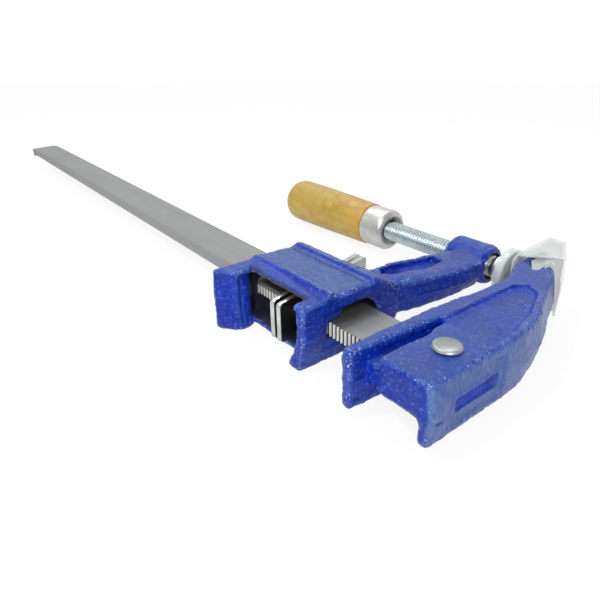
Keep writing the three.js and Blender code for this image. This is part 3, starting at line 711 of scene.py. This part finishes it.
ENAMEL_LAYERS = (
    ("convex", (-0.1, -0.5), 0.7, srgb(6, 38, 178)),  # fresh colour in hollows
    # dust on level faces, and a painted sheen of the light above on them
    ("dust_and_sheen", WHOLE, 1, srgb(66, 94, 134)),
    ("specks", (0.58, 0.68), 0.42, srgb(4, 18, 84)),
    ("specks", (0.42, 0.33), 0.6, srgb(76, 112, 200)),
    ("rub", WHOLE, 0.5, srgb(56, 92, 150)),
    # chipped paint and painted glints on the edges
    ("chips_and_glints", WHOLE, 0.75, srgb(186, 200, 236)),
    ("convex", (-0.55, -0.95), 0.6, srgb(8, 16, 70)),  # painted shade in creases
    # the ground face, lighter as bare metal and as a painted sheen, and the rubbed foot
    ("bare", WHOLE, 1, srgb(82, 106, 144)),
    # painted shade inside the window, arch and bore, and under the recess's ceiling
    ("inside", WHOLE, 1, srgb(40, 40, 56)),
    # painted shade in the pits
    ("pits", (0.1, 0.6), 0.6, srgb(16, 24, 80)),
)


def blue_enamel():
    paint = Paint("blue_enamel")
    names = ("convex", "dust_and_sheen", "bare", "inside", "pits")
    masks = {name: paint.attribute(name) for name in names}
    cloud = paint.noise(*ENAMEL_CLOUD)
    fine = paint.noise(*ENAMEL_FINE)
    wiggle = paint.level(paint.noise(*ENAMEL_WIGGLE), *DUST_AND_SHEEN_WIGGLE)
    ground = paint.level(paint.noise(*ENAMEL_SCRATCHES), *GRINDING)
    patches = paint.level(paint.noise(*ENAMEL_PATCHES), *CHIP_AND_GLINT_PATCHES)
    masks["specks"] = paint.noise(*ENAMEL_SPECKS)
    masks["dust_and_sheen"] = paint.product(masks["dust_and_sheen"], wiggle)
    masks["bare"] = paint.product(masks["bare"], ground)
    edge = masks["convex"]
    masks["rub"] = paint.product(paint.level(edge, *RUB_EDGE), paint.level(cloud, *RUB_CLOUD))
    chips_and_glints = paint.product(paint.level(edge, *CHIP_AND_GLINT_EDGE), paint.level(fine, *CHIP_AND_GLINT_FINE))
    masks["chips_and_glints"] = paint.product(chips_and_glints, patches)
    tone = paint.mix(paint.level(cloud, *MIDDLE), *ENAMEL_TONES)
    tone = paint.layered(tone, masks, ENAMEL_LAYERS)
    paint.bump(paint.noise(*ENAMEL_RELIEF), *ENAMEL_RELIEF_BUMP)
    paint.bump(fine, *ENAMEL_FINE_BUMP)
    relief = paint.shader.inputs["Normal"].links[0].from_socket
    paint.give(relief, paint.shader.inputs["Coat Normal"])
    gloss = {"Specular_IOR_Level": 0.1, "Coat_Weight": 0.32, "Coat_Roughness": 0.09}
    return paint.finish(tone, cloud, ENAMEL_ROUGH, **gloss)


# The bar: streaked steel, stained with a painted shadow under the head, and painted light and
# shade on the teeth near it
VALLEY_Y = (-8.6 * MM, -8.1 * MM)  # just inside a tooth's crest, and just short of its root
BAR_STREAKS = (1.0 * MM, 5, 0.6, (0.04, 1, 1))
BAR_BLOTCH = (12 * MM, 4, 0.6, (0.3, 1, 1))
BAR_SPECKS = (0.8 * MM, 2, 0.5)
BAR_BUMP = (0.02 * MM, 0.4)
BAR_TONES = (srgb(122, 125, 125), srgb(138, 140, 139))
BAR_ROUGH = (0.46, 0.6)
BAR_METAL = 0.45
# grime under the head, and the head's shadow painted there
GRIME_AND_SHADOW = 0.85
GRIME_AND_SHADOW_RIGHT_X = (34 * MM, 22 * MM)
GRIME_AND_SHADOW_LEFT_X = (-24 * MM, -17 * MM)
TOOTHED_FACE = (-0.3, -0.6)  # how far a face has to look along Y
NEAR_X = (-34 * MM, -24 * MM)
FAR_VALLEY_SHADE = 0.2
WINDOW_SHADE = 0.8
WINDOW_X = (18 * MM, 16 * MM)
WINDOW_Z = (12.4 * MM, 13.2 * MM)
BAR_LAYERS = (
    ("blotch", (0.45, 0.75), 0.5, srgb(118, 120, 119)),
    ("specks", (0.72, 0.8), 0.5, srgb(110, 108, 102)),
    # grime and a painted shadow under the head
    ("grime_and_shadow", WHOLE, 1, srgb(66, 62, 62)),
    ("front", WHOLE, 1, srgb(144, 145, 145)),
    # painted highlight on the toothed face near the head
    ("painted_teeth_highlight", WHOLE, 1, srgb(222, 223, 216)),
    # painted shade in the valleys between the teeth
    ("painted_valley_shade", WHOLE, 1, srgb(30, 28, 27)),
    # painted shadow of the head's roof on the upper teeth in its window
    ("window", WHOLE, 1, srgb(40, 40, 44)),
)


def bar_steel():
    paint = Paint("bar_steel")
    streaks = paint.noise(*BAR_STREAKS)
    along = paint.axis("X")
    grime_and_shadow = paint.level(along, *GRIME_AND_SHADOW_RIGHT_X, 0, GRIME_AND_SHADOW)
    front = paint.level(paint.facing("Y"), *TOOTHED_FACE)
    near = paint.level(along, *NEAR_X)
    valley = paint.level(paint.axis("Y"), *VALLEY_Y)
    height = paint.level(paint.axis("Z"), *WINDOW_Z, 0, WINDOW_SHADE)
    masks = {
        "blotch": paint.noise(*BAR_BLOTCH),
        "specks": paint.noise(*BAR_SPECKS),
        "grime_and_shadow": paint.product(grime_and_shadow, paint.level(along, *GRIME_AND_SHADOW_LEFT_X)),
        "front": front,
        "painted_teeth_highlight": paint.product(front, near),
        "painted_valley_shade": paint.product(front, valley, paint.math("MAXIMUM", near, FAR_VALLEY_SHADE)),
        "window": paint.product(paint.level(along, *WINDOW_X), near, height, front),
    }
    tone = paint.mix(paint.level(streaks, *MIDDLE), *BAR_TONES)
    tone = paint.layered(tone, masks, BAR_LAYERS)
    paint.bump(streaks, *BAR_BUMP)
    return paint.finish(tone, streaks, BAR_ROUGH, Metallic=BAR_METAL)


PLATED_CLOUD = (4 * MM, 4, 0.6)
PLATED_FINE = (0.6 * MM, 3, 0.5)
PLATED_BUMP = (0.02 * MM, 0.4)
PLATED_METAL = 0.9


def plated(name, dark, light, rough, darkened=None):
    """Plated steel with a cloudy skin, and a darker tone where a piece marks it: painted shade on
    a clutch plate's broad faces, and the screw's nose.
    """
    paint = Paint(name)
    fine = paint.noise(*PLATED_FINE)
    tone = paint.mix(paint.level(paint.noise(*PLATED_CLOUD), *MIDDLE), dark, light)
    if darkened:
        tone = paint.mix(paint.attribute("darkened"), tone, darkened)
    paint.bump(fine, *PLATED_BUMP)
    return paint.finish(tone, fine, rough, Metallic=PLATED_METAL)


WOOD_RINGS = (4.5 * MM, 5, 0.65, (0.3, 1, 1), 1.2)
WOOD_FIBRES = (0.7 * MM, 4, 0.6, (0.1, 1, 1))
WOOD_BLOTCH = (9 * MM, 4, 0.65, None, 0.8)
WOOD_SPOTS = (2.2 * MM, 4, 0.7, None, 0.6)
WOOD_BUMP = (0.04 * MM, 0.4)
WOOD_TONES = (srgb(150, 122, 42), srgb(180, 154, 66))
WOOD_ROUGH = (0.38, 0.52)
WOOD_LAYERS = (
    ("blotch", (0.48, 0.62), 0.7, srgb(156, 116, 38)),
    ("fibres", (0.6, 0.8), 0.4, srgb(158, 126, 60)),
    ("spots", (0.56, 0.66), 0.4, srgb(140, 120, 46)),
    ("along", (-56 * MM, -44 * MM), 0.3, srgb(184, 122, 48)),  # near the ferrule
    ("along", (-43 * MM, -41 * MM), 1, srgb(36, 32, 28)),  # painted shade where it is hidden in it
)


def pale_wood():
    paint = Paint("pale_wood")
    masks = {
        "blotch": paint.noise(*WOOD_BLOTCH),
        "fibres": paint.noise(*WOOD_FIBRES),
        "spots": paint.noise(*WOOD_SPOTS),
        "along": paint.axis("X"),
    }
    tone = paint.mix(paint.level(paint.noise(*WOOD_RINGS), *MIDDLE), *WOOD_TONES)
    tone = paint.layered(tone, masks, WOOD_LAYERS)
    paint.bump(masks["fibres"], *WOOD_BUMP)
    lacquer = {"Coat_Weight": 0.12, "Coat_Roughness": 0.3}
    return paint.finish(tone, masks["fibres"], WOOD_ROUGH, **lacquer)


PLASTIC_CLOUD = (6 * MM, 3, 0.5)
PLASTIC_BUMP = (0.1 * MM, 0.4)
PLASTIC_TONES = (srgb(206, 213, 210), srgb(222, 228, 226))
PLASTIC_ROUGH = (0.28, 0.4)


def soft_plastic():
    paint = Paint("soft_plastic")
    cloud = paint.noise(*PLASTIC_CLOUD)
    tone = paint.mix(paint.level(cloud, *MIDDLE), *PLASTIC_TONES)
    paint.bump(cloud, *PLASTIC_BUMP)
    return paint.finish(tone, cloud, PLASTIC_ROUGH, IOR=1.4, Alpha=0.45)


ENAMEL = blue_enamel()
BAR_STEEL = bar_steel()
RIVET_STEEL = plated("rivet_steel", srgb(134, 140, 139), srgb(164, 169, 168), (0.36, 0.48))
# its last tone is painted shade on the plates' broad faces
CLUTCH_STEEL = plated(
    "clutch_steel", srgb(176, 180, 175), srgb(208, 211, 205), (0.28, 0.42), srgb(78, 78, 78)
)
SPRING_STEEL = plated("spring_steel", srgb(140, 140, 136), srgb(170, 170, 166), (0.2, 0.34))
SCREW_STEEL = plated(
    "screw_steel", srgb(168, 180, 186), srgb(196, 206, 210), (0.3, 0.42), srgb(58, 50, 56)
)
FERRULE_STEEL = plated("ferrule_steel", srgb(172, 172, 168), srgb(198, 198, 194), (0.34, 0.46))
PAD_STEEL = plated("pad_steel", srgb(176, 178, 176), srgb(206, 208, 206), (0.26, 0.4))
WOOD = pale_wood()
PLASTIC = soft_plastic()


# Pieces with broken edges
WELD = 0.001 * MM  # corners closer than this become one
FLAT_ANGLE = math.radians(1)
BEVEL_ANGLE = math.radians(25)
BAR_BEVEL = 0.12 * MM
RIVET_BEVEL = 0.3 * MM
FILM_BEVEL = 0.25 * MM
PLATE_BEVEL = 0.5 * MM


def bevelled(node, name, width, segments=2, smooth=True):
    """A copy of a solid with its edges broken by a small round."""
    piece = copy_of(node, name)
    weld = piece.modifiers.new("weld", "WELD")
    weld.merge_threshold = WELD
    flat = piece.modifiers.new("flat", "DECIMATE")
    flat.decimate_type = "DISSOLVE"
    flat.angle_limit = FLAT_ANGLE
    bevel = piece.modifiers.new("bevel", "BEVEL")
    bevel.width = width
    bevel.segments = segments
    bevel.limit_method = "ANGLE"
    bevel.angle_limit = BEVEL_ANGLE
    bevel.harden_normals = True
    apply_modifiers(piece)
    for face in piece.data.polygons:
        face.use_smooth = smooth
    keep_piece_inside(piece, node)
    return piece


PLATE_CANT = math.radians(14)
PLATE_SHARE = 0.72  # of the solid's thickness that the plate's rim shows
BROAD_FACE = (0.35, 0.6)
SHADED_Y = (12 * MM, 6 * MM)


def clutch_plate(node, name):
    """A clutch plate with rounded rims; its broad faces are marked for painted shade on their
    front part, where they lie in the gaps between the plates.
    """
    piece = bevelled(node, name, PLATE_BEVEL, segments=3)
    across = np.array([math.cos(PLATE_CANT), math.sin(PLATE_CANT), 0])
    points = points_of(piece.data)
    depth = (points - np.array(middle(node))) @ across
    set_points(piece.data, points - (1 - PLATE_SHARE) * depth[:, None] * across)
    darkened = step(np.abs(normals_of(piece.data) @ across), *BROAD_FACE)
    darkened *= step(points_of(piece.data)[:, 1], *SHADED_Y)
    set_shade(piece.data, "darkened", darkened)
    return piece


# The screw: a fine right-hand thread between a plain tang and a turned nose
SCREW_RADIUS = 4.4 * MM
SCREW_SIDES = 48
THREAD_PITCH = 1.5 * MM
THREAD_DEPTH = 0.8 * MM
THREAD_FLANK = (0.1, 0.85)  # of the climb from a root to a crest
THREAD_START = -31 * MM
THREAD_END = 25.8 * MM
THREAD_ROWS = 10  # to a turn
TANG_RADIUS = 3.4 * MM
NOSE_RADIUS = 2.9 * MM
NOSE_X = (24.5 * MM, 25.5 * MM)
NOSE_DARK = 0.85
BREAK = 0.3 * MM  # bevel of a turned edge


def thread_radius(x, angles):
    turn = (x - THREAD_START) / THREAD_PITCH - angles / (2 * math.pi)
    climb = 1 - np.abs(2 * (turn - np.floor(turn)) - 1)
    run_out = step(THREAD_END - x, 0, THREAD_PITCH)
    return SCREW_RADIUS - THREAD_DEPTH * (1 - step(climb, *THREAD_FLANK) * run_out)


def threaded_screw():
    low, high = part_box("screw")
    profile = [(low.x, 0), (low.x, TANG_RADIUS - BREAK), (low.x + BREAK, TANG_RADIUS)]
    profile.append((THREAD_START, TANG_RADIUS))
    count = round((THREAD_END - THREAD_START) / THREAD_PITCH * THREAD_ROWS)
    for i in range(count + 1):
        x = THREAD_START + (THREAD_END - THREAD_START) * i / count
        profile.append((x, lambda angles, x=x: thread_radius(x, angles)))
    profile.append((THREAD_END, NOSE_RADIUS))
    profile += [(high.x - BREAK, NOSE_RADIUS), (high.x, NOSE_RADIUS - BREAK), (high.x, 0)]
    piece = turned_piece("threaded_screw", profile, SCREW_SIDES)
    keep_piece_inside(piece, "screw")
    nose = step(points_of(piece.data)[:, 0], *NOSE_X)
    set_shade(piece.data, "darkened", NOSE_DARK * nose)
    return piece


# The clutch spring: the CAD's coil, drawn finer
COIL_RADIUS = 1.8 * MM
COIL_WIRE = 0.8 * MM
COIL_TURNS = 8
COIL_STEPS = 28
COIL_SIDES = 12


def fine_coil():
    low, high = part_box("clutch_spring")
    centre = (low + high) / 2
    start = low.x + COIL_WIRE / 2
    end = high.x - COIL_WIRE / 2
    count = COIL_TURNS * COIL_STEPS
    rise = (end - start) / (2 * math.pi * COIL_TURNS)
    vertices = []
    for i in range(count + 1):
        a = 2 * math.pi * i / COIL_STEPS
        out = Vector((0, math.cos(a), math.sin(a)))
        along = Vector((rise, -COIL_RADIUS * math.sin(a), COIL_RADIUS * math.cos(a)))
        across = along.normalized().cross(out)
        x = start + (end - start) * i / count
        place = Vector((x, centre.y, centre.z)) + out * COIL_RADIUS
        for j in range(COIL_SIDES):
            b = 2 * math.pi * j / COIL_SIDES
            vertices.append(place + (out * math.cos(b) + across * math.sin(b)) * (COIL_WIRE / 2))
    faces = []
    for i in range(count):
        for j in range(COIL_SIDES):
            n = (j + 1) % COIL_SIDES
            a, b = i * COIL_SIDES, (i + 1) * COIL_SIDES
            faces.append((a + j, a + n, b + n, b + j))
    faces.append(tuple(range(COIL_SIDES)))
    faces.append(tuple(range(count * COIL_SIDES, (count + 1) * COIL_SIDES))[::-1])
    piece = outward(new_piece("fine_coil", vertices, faces))
    keep_piece_inside(piece, "clutch_spring")
    return piece


# The handle. The ferrule's end has a hexagon pressed into it round the screw.
FERRULE_SIDES = 120
FERRULE_WALL = 1.2 * MM
FERRULE_ROUND = 2.6 * MM
FERRULE_MOUTH_ROUNDS = (0.2 * MM, 0.35 * MM, 0)  # of its inner edge, outer edge and next point
FERRULE_MOUTH_STEPS = 8
FERRULE_DISH = 0.15 * MM
FERRULE_DISH_RADIUS = 7.1 * MM
FERRULE_RECESS = 0.9 * MM  # depth of the hexagon
FERRULE_HOLE = 5.8 * MM  # half the width across the hexagon's flats
FERRULE_BORE = 4.7 * MM
GRIP_GAP = 0.3 * MM
GRIP_BORE = 3.7 * MM
GRIP_SPIGOT = 7.9 * MM
GRIP_NECK = 9.8 * MM
GRIP_RIM_HEIGHT = 0.5 * MM
GRIP_RIM_LENGTH = 0.6 * MM
GRIP_END_ROUND = 6 * MM
GRIP_STEPS = 18


def hexagon(angles):
    sixth = math.pi / 3
    return FERRULE_HOLE / np.cos((angles + sixth / 2) % sixth - sixth / 2)


def ferrule_cup():
    low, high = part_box("handle_ferrule")
    outer = (high.y - low.y) / 2
    inner = outer - FERRULE_WALL
    mouth = [(low.x, inner), (low.x, outer), (high.x, outer)]
    profile = rounded(mouth, FERRULE_MOUTH_ROUNDS, FERRULE_MOUTH_STEPS)[:-1]
    profile += end_round(high.x, outer, FERRULE_ROUND, 1)
    dish = high.x - FERRULE_DISH
    floor = high.x - FERRULE_RECESS
    wall = high.x - FERRULE_WALL
    profile += [(dish, FERRULE_DISH_RADIUS), (dish, hexagon)]
    profile += [(floor, hexagon), (floor, FERRULE_BORE), (wall, FERRULE_BORE), (wall, inner)]
    return turned_piece("ferrule_cup", profile, FERRULE_SIDES)


def wooden_grip():
    low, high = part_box("handle_grip")
    outer = (high.y - low.y) / 2
    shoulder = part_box("handle_ferrule")[0].x - GRIP_GAP
    bore_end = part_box("screw")[0].x - GRIP_GAP
    profile = [(bore_end, 0), (bore_end, GRIP_BORE), (high.x, GRIP_BORE), (high.x, GRIP_SPIGOT)]
    profile += [(shoulder, GRIP_SPIGOT), (shoulder, GRIP_NECK - GRIP_RIM_HEIGHT)]
    profile.append((shoulder - GRIP_RIM_LENGTH, GRIP_NECK))
    for i in range(1, GRIP_STEPS):
        t = i / GRIP_STEPS
        x = shoulder + (low.x + GRIP_END_ROUND - shoulder) * t
        swell = math.sin(t * math.pi / 2)
        profile.append((x, GRIP_NECK + (outer - GRIP_NECK) * swell))
    profile += end_round(low.x, outer, GRIP_END_ROUND, -1)
    profile.append((low.x, 0))
    return turned_piece("wooden_grip", profile)


# The swivel pad and the soft cap on it. Rounds are of the corners in the profile's order.
BALL_RADIUS = 2.5 * MM
SOCKET_ROOM = 0.3 * MM
HUB_RADIUS = 5.6 * MM
HUB_LENGTH = 4.1 * MM
HUB_MOUTH = 3.8 * MM
CAP_WALL = 0.8 * MM
CAP_LIP = 1.3 * MM
PAD_ROUNDS = [MM * size for size in (0.3, 0.3, 0, 0, 0.2, 0.4, 0.3, 0.4, 1.2, 0.8)]
CAP_ROUNDS = [MM * size for size in (0.25, 0.9, 0.9, 0, 0, 0.3, 0.3, 0.25)]
PAD_STEPS = 6


def pad_disc():
    low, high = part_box("swivel_pad")
    ball = middle("thrust_ball").x
    disc = low.x + HUB_LENGTH
    outer = (high.y - low.y) / 2
    socket = BALL_RADIUS + SOCKET_ROOM
    profile = [
        (disc, outer),
        (high.x, outer),
        (high.x, 0),
        (ball + socket, 0),
        (ball + socket, BALL_RADIUS / 2),
        (ball + BALL_RADIUS / 2, socket),
        (ball - BALL_RADIUS / 2, HUB_MOUTH),
        (low.x, HUB_MOUTH),
        (low.x, HUB_RADIUS),
        (disc, HUB_RADIUS),
    ]
    return turned_piece("pad_disc", rounded(profile, PAD_ROUNDS, PAD_STEPS))


def pad_pocket():
    low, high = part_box("pad_cap")
    outer = (high.y - low.y) / 2
    inner = outer - CAP_WALL
    mouth = inner - CAP_LIP
    back = low.x + CAP_WALL
    front = high.x - CAP_WALL
    profile = [(low.x, mouth), (low.x, outer), (high.x, outer), (high.x, 0)]
    profile += [(front, 0), (front, inner), (back, inner), (back, mouth)]
    return turned_piece("pad_pocket", rounded(profile, CAP_ROUNDS, PAD_STEPS))


# The film that hangs in the notch of the jaw's tip: X and Y of its corners in mm
TONGUE = ((41.7, 84.6), (41.7, 70.2), (48.1, 59.8), (46.8, 74.2), (50.5, 70.6))
TONGUE_LOW = 20.1 * MM
TONGUE_HIGH = 20.7 * MM


def tip_pocket():
    """The soft pocket on the jaw's tip, with the film that hangs in the tip's notch."""
    piece = bevelled("fixed_jaw_cap", "tip_pocket", FILM_BEVEL)
    mesh = piece.data
    points = [tuple(p) for p in points_of(mesh)]
    faces = [tuple(face.vertices) for face in mesh.polygons]
    first = len(points)
    pocket_faces = len(faces)
    count = len(TONGUE)
    for z in (TONGUE_LOW, TONGUE_HIGH):
        points += [(x * MM, y * MM, z) for x, y in TONGUE]
    faces.append(tuple(first + count + i for i in range(count)))
    faces.append(tuple(first + i for i in range(count))[::-1])
    for i in range(count):
        n = (i + 1) % count
        faces.append((first + i, first + n, first + count + n, first + count + i))
    mesh.clear_geometry()
    mesh.from_pydata(points, [], faces)
    mesh.update()
    for face in mesh.polygons:
        face.use_smooth = face.index < pocket_faces
    return piece


# Every piece rides on its body and takes the place of its solid
def dress(piece, body, material, slot, *nodes):
    piece.data.materials.append(material)
    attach(piece, body)
    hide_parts(*nodes)


FIXED_JAW_SEED = 11
SLIDING_JAW_SEED = 47

jaw = casting(
    "fixed_jaw",
    "fixed_jaw_casting",
    FIXED_JAW_SEED,
    fixed_jaw_marks,
    keep=recess_area,
    soft=jaw_tip_and_feet,
)
dress(jaw, "frame", ENAMEL, "blue_enamel", "fixed_jaw")
head = casting("sliding_jaw", "sliding_jaw_casting", SLIDING_JAW_SEED, sliding_jaw_marks)
dress(head, "sliding_jaw", ENAMEL, "blue_enamel", "sliding_jaw")
bar = bevelled("bar", "toothed_bar", BAR_BEVEL, smooth=False)
dress(bar, "frame", BAR_STEEL, "bar_steel", "bar")
rivet = bevelled("bar_rivet", "jaw_rivet", RIVET_BEVEL)
dress(rivet, "frame", RIVET_STEEL, "rivet_steel", "bar_rivet")
dress(tip_pocket(), "frame", PLASTIC, "soft_plastic", "fixed_jaw_cap")
for node, name in (
    ("clutch_plate_1", "rear_clutch_plate"),
    ("clutch_plate_2", "front_clutch_plate"),
):
    dress(clutch_plate(node, name), node, CLUTCH_STEEL, "clutch_steel", node)
dress(fine_coil(), "sliding_jaw", SPRING_STEEL, "spring_steel", "clutch_spring")
dress(threaded_screw(), "screw", SCREW_STEEL, "screw_steel", "screw")
dress(ferrule_cup(), "screw", FERRULE_STEEL, "ferrule_steel", "handle_ferrule")
dress(wooden_grip(), "screw", WOOD, "pale_wood", "handle_grip")
dress(pad_pocket(), "swivel_pad", PLASTIC, "soft_plastic", "pad_cap")
dress(pad_disc(), "swivel_pad", PAD_STEEL, "pad_steel", "swivel_pad")
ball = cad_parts["thrust_ball"]
ball.data.materials.clear()
ball.data.materials.append(RIVET_STEEL)


# Camera, at the photograph's viewing angle. Angles in degrees, places in the picture in pixels.
CAMERA_PLACE = Vector((0.129, -0.099634, 0.093752))
CAMERA_AZIMUTH = 50.8
CAMERA_ELEVATION = 25.5
CAMERA_ROLL = -0.15
CAMERA_SENSOR = 36
CAMERA_NEAREST = 5 * MM
FOCAL_PIXELS = 522
PICTURE_WIDTH = 600
PRINCIPAL_X = 321
PRINCIPAL_Y = 287


def rotation(degrees, axis):
    return Matrix.Rotation(math.radians(degrees), 4, axis)


def make_camera():
    data = bpy.data.cameras.new("camera")
    data.sensor_width = CAMERA_SENSOR
    data.lens = FOCAL_PIXELS * data.sensor_width / PICTURE_WIDTH
    data.shift_x = (PICTURE_WIDTH / 2 - PRINCIPAL_X) / PICTURE_WIDTH
    data.shift_y = (PRINCIPAL_Y - PICTURE_WIDTH / 2) / PICTURE_WIDTH
    data.clip_start = CAMERA_NEAREST
    camera = bpy.data.objects.new("camera", data)
    scene.collection.objects.link(camera)
    place = Matrix.Translation(CAMERA_PLACE) @ rotation(CAMERA_AZIMUTH, "Z")
    tip = rotation(90 - CAMERA_ELEVATION, "X")
    camera.matrix_world = place @ tip @ rotation(CAMERA_ROLL, "Z")
    scene.camera = camera


# Studio: a white floor and surround that the eye and the metal see, and soft lamps
def seen(wiring, by_eye, by_metal):
    """A value for what the camera sees, and one for what gloss and clear pieces see."""
    path = wiring.tree.nodes.new("ShaderNodeLightPath").outputs
    eye = wiring.product(path["Is Camera Ray"], by_eye)
    either = wiring.math("ADD", path["Is Glossy Ray"], path["Is Transmission Ray"], clamp=True)
    return wiring.math("MAXIMUM", eye, wiring.product(either, by_metal))


FLOOR_SIZE = 12.0
FLOOR_TONE = (0.9, 0.9, 0.9, 1)
FLOOR_ROUGH = 0.9
FLOOR_FADE = (0.3, 1.5)  # how far from the object the floor pales
FLOOR_WHITE = (0.88, 1.0)  # the share of white that the eye sees near and far
FLOOR_IN_METAL = 0.45


def make_floor():
    corners = [(-1, -1), (1, -1), (1, 1), (-1, 1)]
    corners = [(x * FLOOR_SIZE, y * FLOOR_SIZE, 0) for x, y in corners]
    floor = new_piece("floor", corners, [(0, 1, 2, 3)], smooth=False)
    material = bpy.data.materials.new("floor_white")
    material.use_nodes = True
    tree = material.node_tree
    wiring = Wiring(tree)
    shader = tree.nodes["Principled BSDF"]
    shader.inputs["Base Color"].default_value = FLOOR_TONE
    shader.inputs["Roughness"].default_value = FLOOR_ROUGH
    glow = tree.nodes.new("ShaderNodeEmission")
    mix = tree.nodes.new("ShaderNodeMixShader")
    distance = tree.nodes.new("ShaderNodeVectorMath")
    distance.operation = "LENGTH"
    place = tree.nodes.new("ShaderNodeTexCoord").outputs["Object"]
    wiring.give(place, distance.inputs[0])
    white = wiring.level(distance.outputs["Value"], *FLOOR_FADE, *FLOOR_WHITE)
    wiring.give(seen(wiring, white, FLOOR_IN_METAL), mix.inputs["Fac"])
    wiring.give(shader.outputs["BSDF"], mix.inputs[1])
    wiring.give(glow.outputs[0], mix.inputs[2])
    output = next(n for n in tree.nodes if n.type == "OUTPUT_MATERIAL")
    wiring.give(mix.outputs[0], output.inputs["Surface"])
    floor.data.materials.append(material)


ROOM_SIDE = (0.775, -0.632, 0)  # from the object towards the darker side of the room
ROOM_FADE = (-0.1, 0.7)
ROOM_IN_METAL = (1.0, 0.35)  # on the pale side and on the darker one
ROOM_LIGHT = 0.55  # what the surround gives to the object


def make_world():
    """White behind the object; gloss and clear pieces see the room's other side darker."""
    world = bpy.data.worlds.new("studio")
    world.use_nodes = True
    tree = world.node_tree
    wiring = Wiring(tree)
    back = tree.nodes["Background"]
    back.inputs["Color"].default_value = (1, 1, 1, 1)
    way = tree.nodes.new("ShaderNodeTexCoord")
    dot = tree.nodes.new("ShaderNodeVectorMath")
    dot.operation = "DOT_PRODUCT"
    dot.inputs[1].default_value = ROOM_SIDE
    wiring.give(way.outputs["Generated"], dot.inputs[0])
    fade = wiring.level(dot.outputs["Value"], *ROOM_FADE, *ROOM_IN_METAL)
    direct = wiring.math("SUBTRACT", 1.0, seen(wiring, 1.0, 1.0))
    direct = wiring.product(direct, ROOM_LIGHT)
    wiring.give(wiring.math("ADD", seen(wiring, 1.0, fade), direct), back.inputs["Strength"])
    scene.world = world


LAMP_AIM = Vector((0.02, 0.03, 0.01))
LAMPS = (  # name, direction from the object, distance, width and watts
    ("key", (-0.55, 0.1, 0.83), 0.9, 0.4, 1.5),
    ("front", (0.6, -0.62, 0.62), 0.9, 0.4, 5.5),
    ("spark", (-0.45, 0.37, 0.81), 0.7, 0.05, 0.6),
    ("glint", (-0.2, -0.5, 0.84), 0.7, 0.05, 1.4),
)


def make_lamp(name, way, distance, size, power):
    """A round soft lamp that looks at the object from a direction."""
    data = bpy.data.lights.new(name, "AREA")
    data.shape = "DISK"
    data.size = size
    data.energy = power
    lamp = bpy.data.objects.new(name, data)
    scene.collection.objects.link(lamp)
    lamp.location = LAMP_AIM + Vector(way).normalized() * distance
    lamp.rotation_euler = (LAMP_AIM - lamp.location).to_track_quat("-Z", "Y").to_euler()


make_camera()
make_floor()
make_world()
for lamp in LAMPS:
    make_lamp(*lamp)

scene.view_settings.view_transform = "Standard"
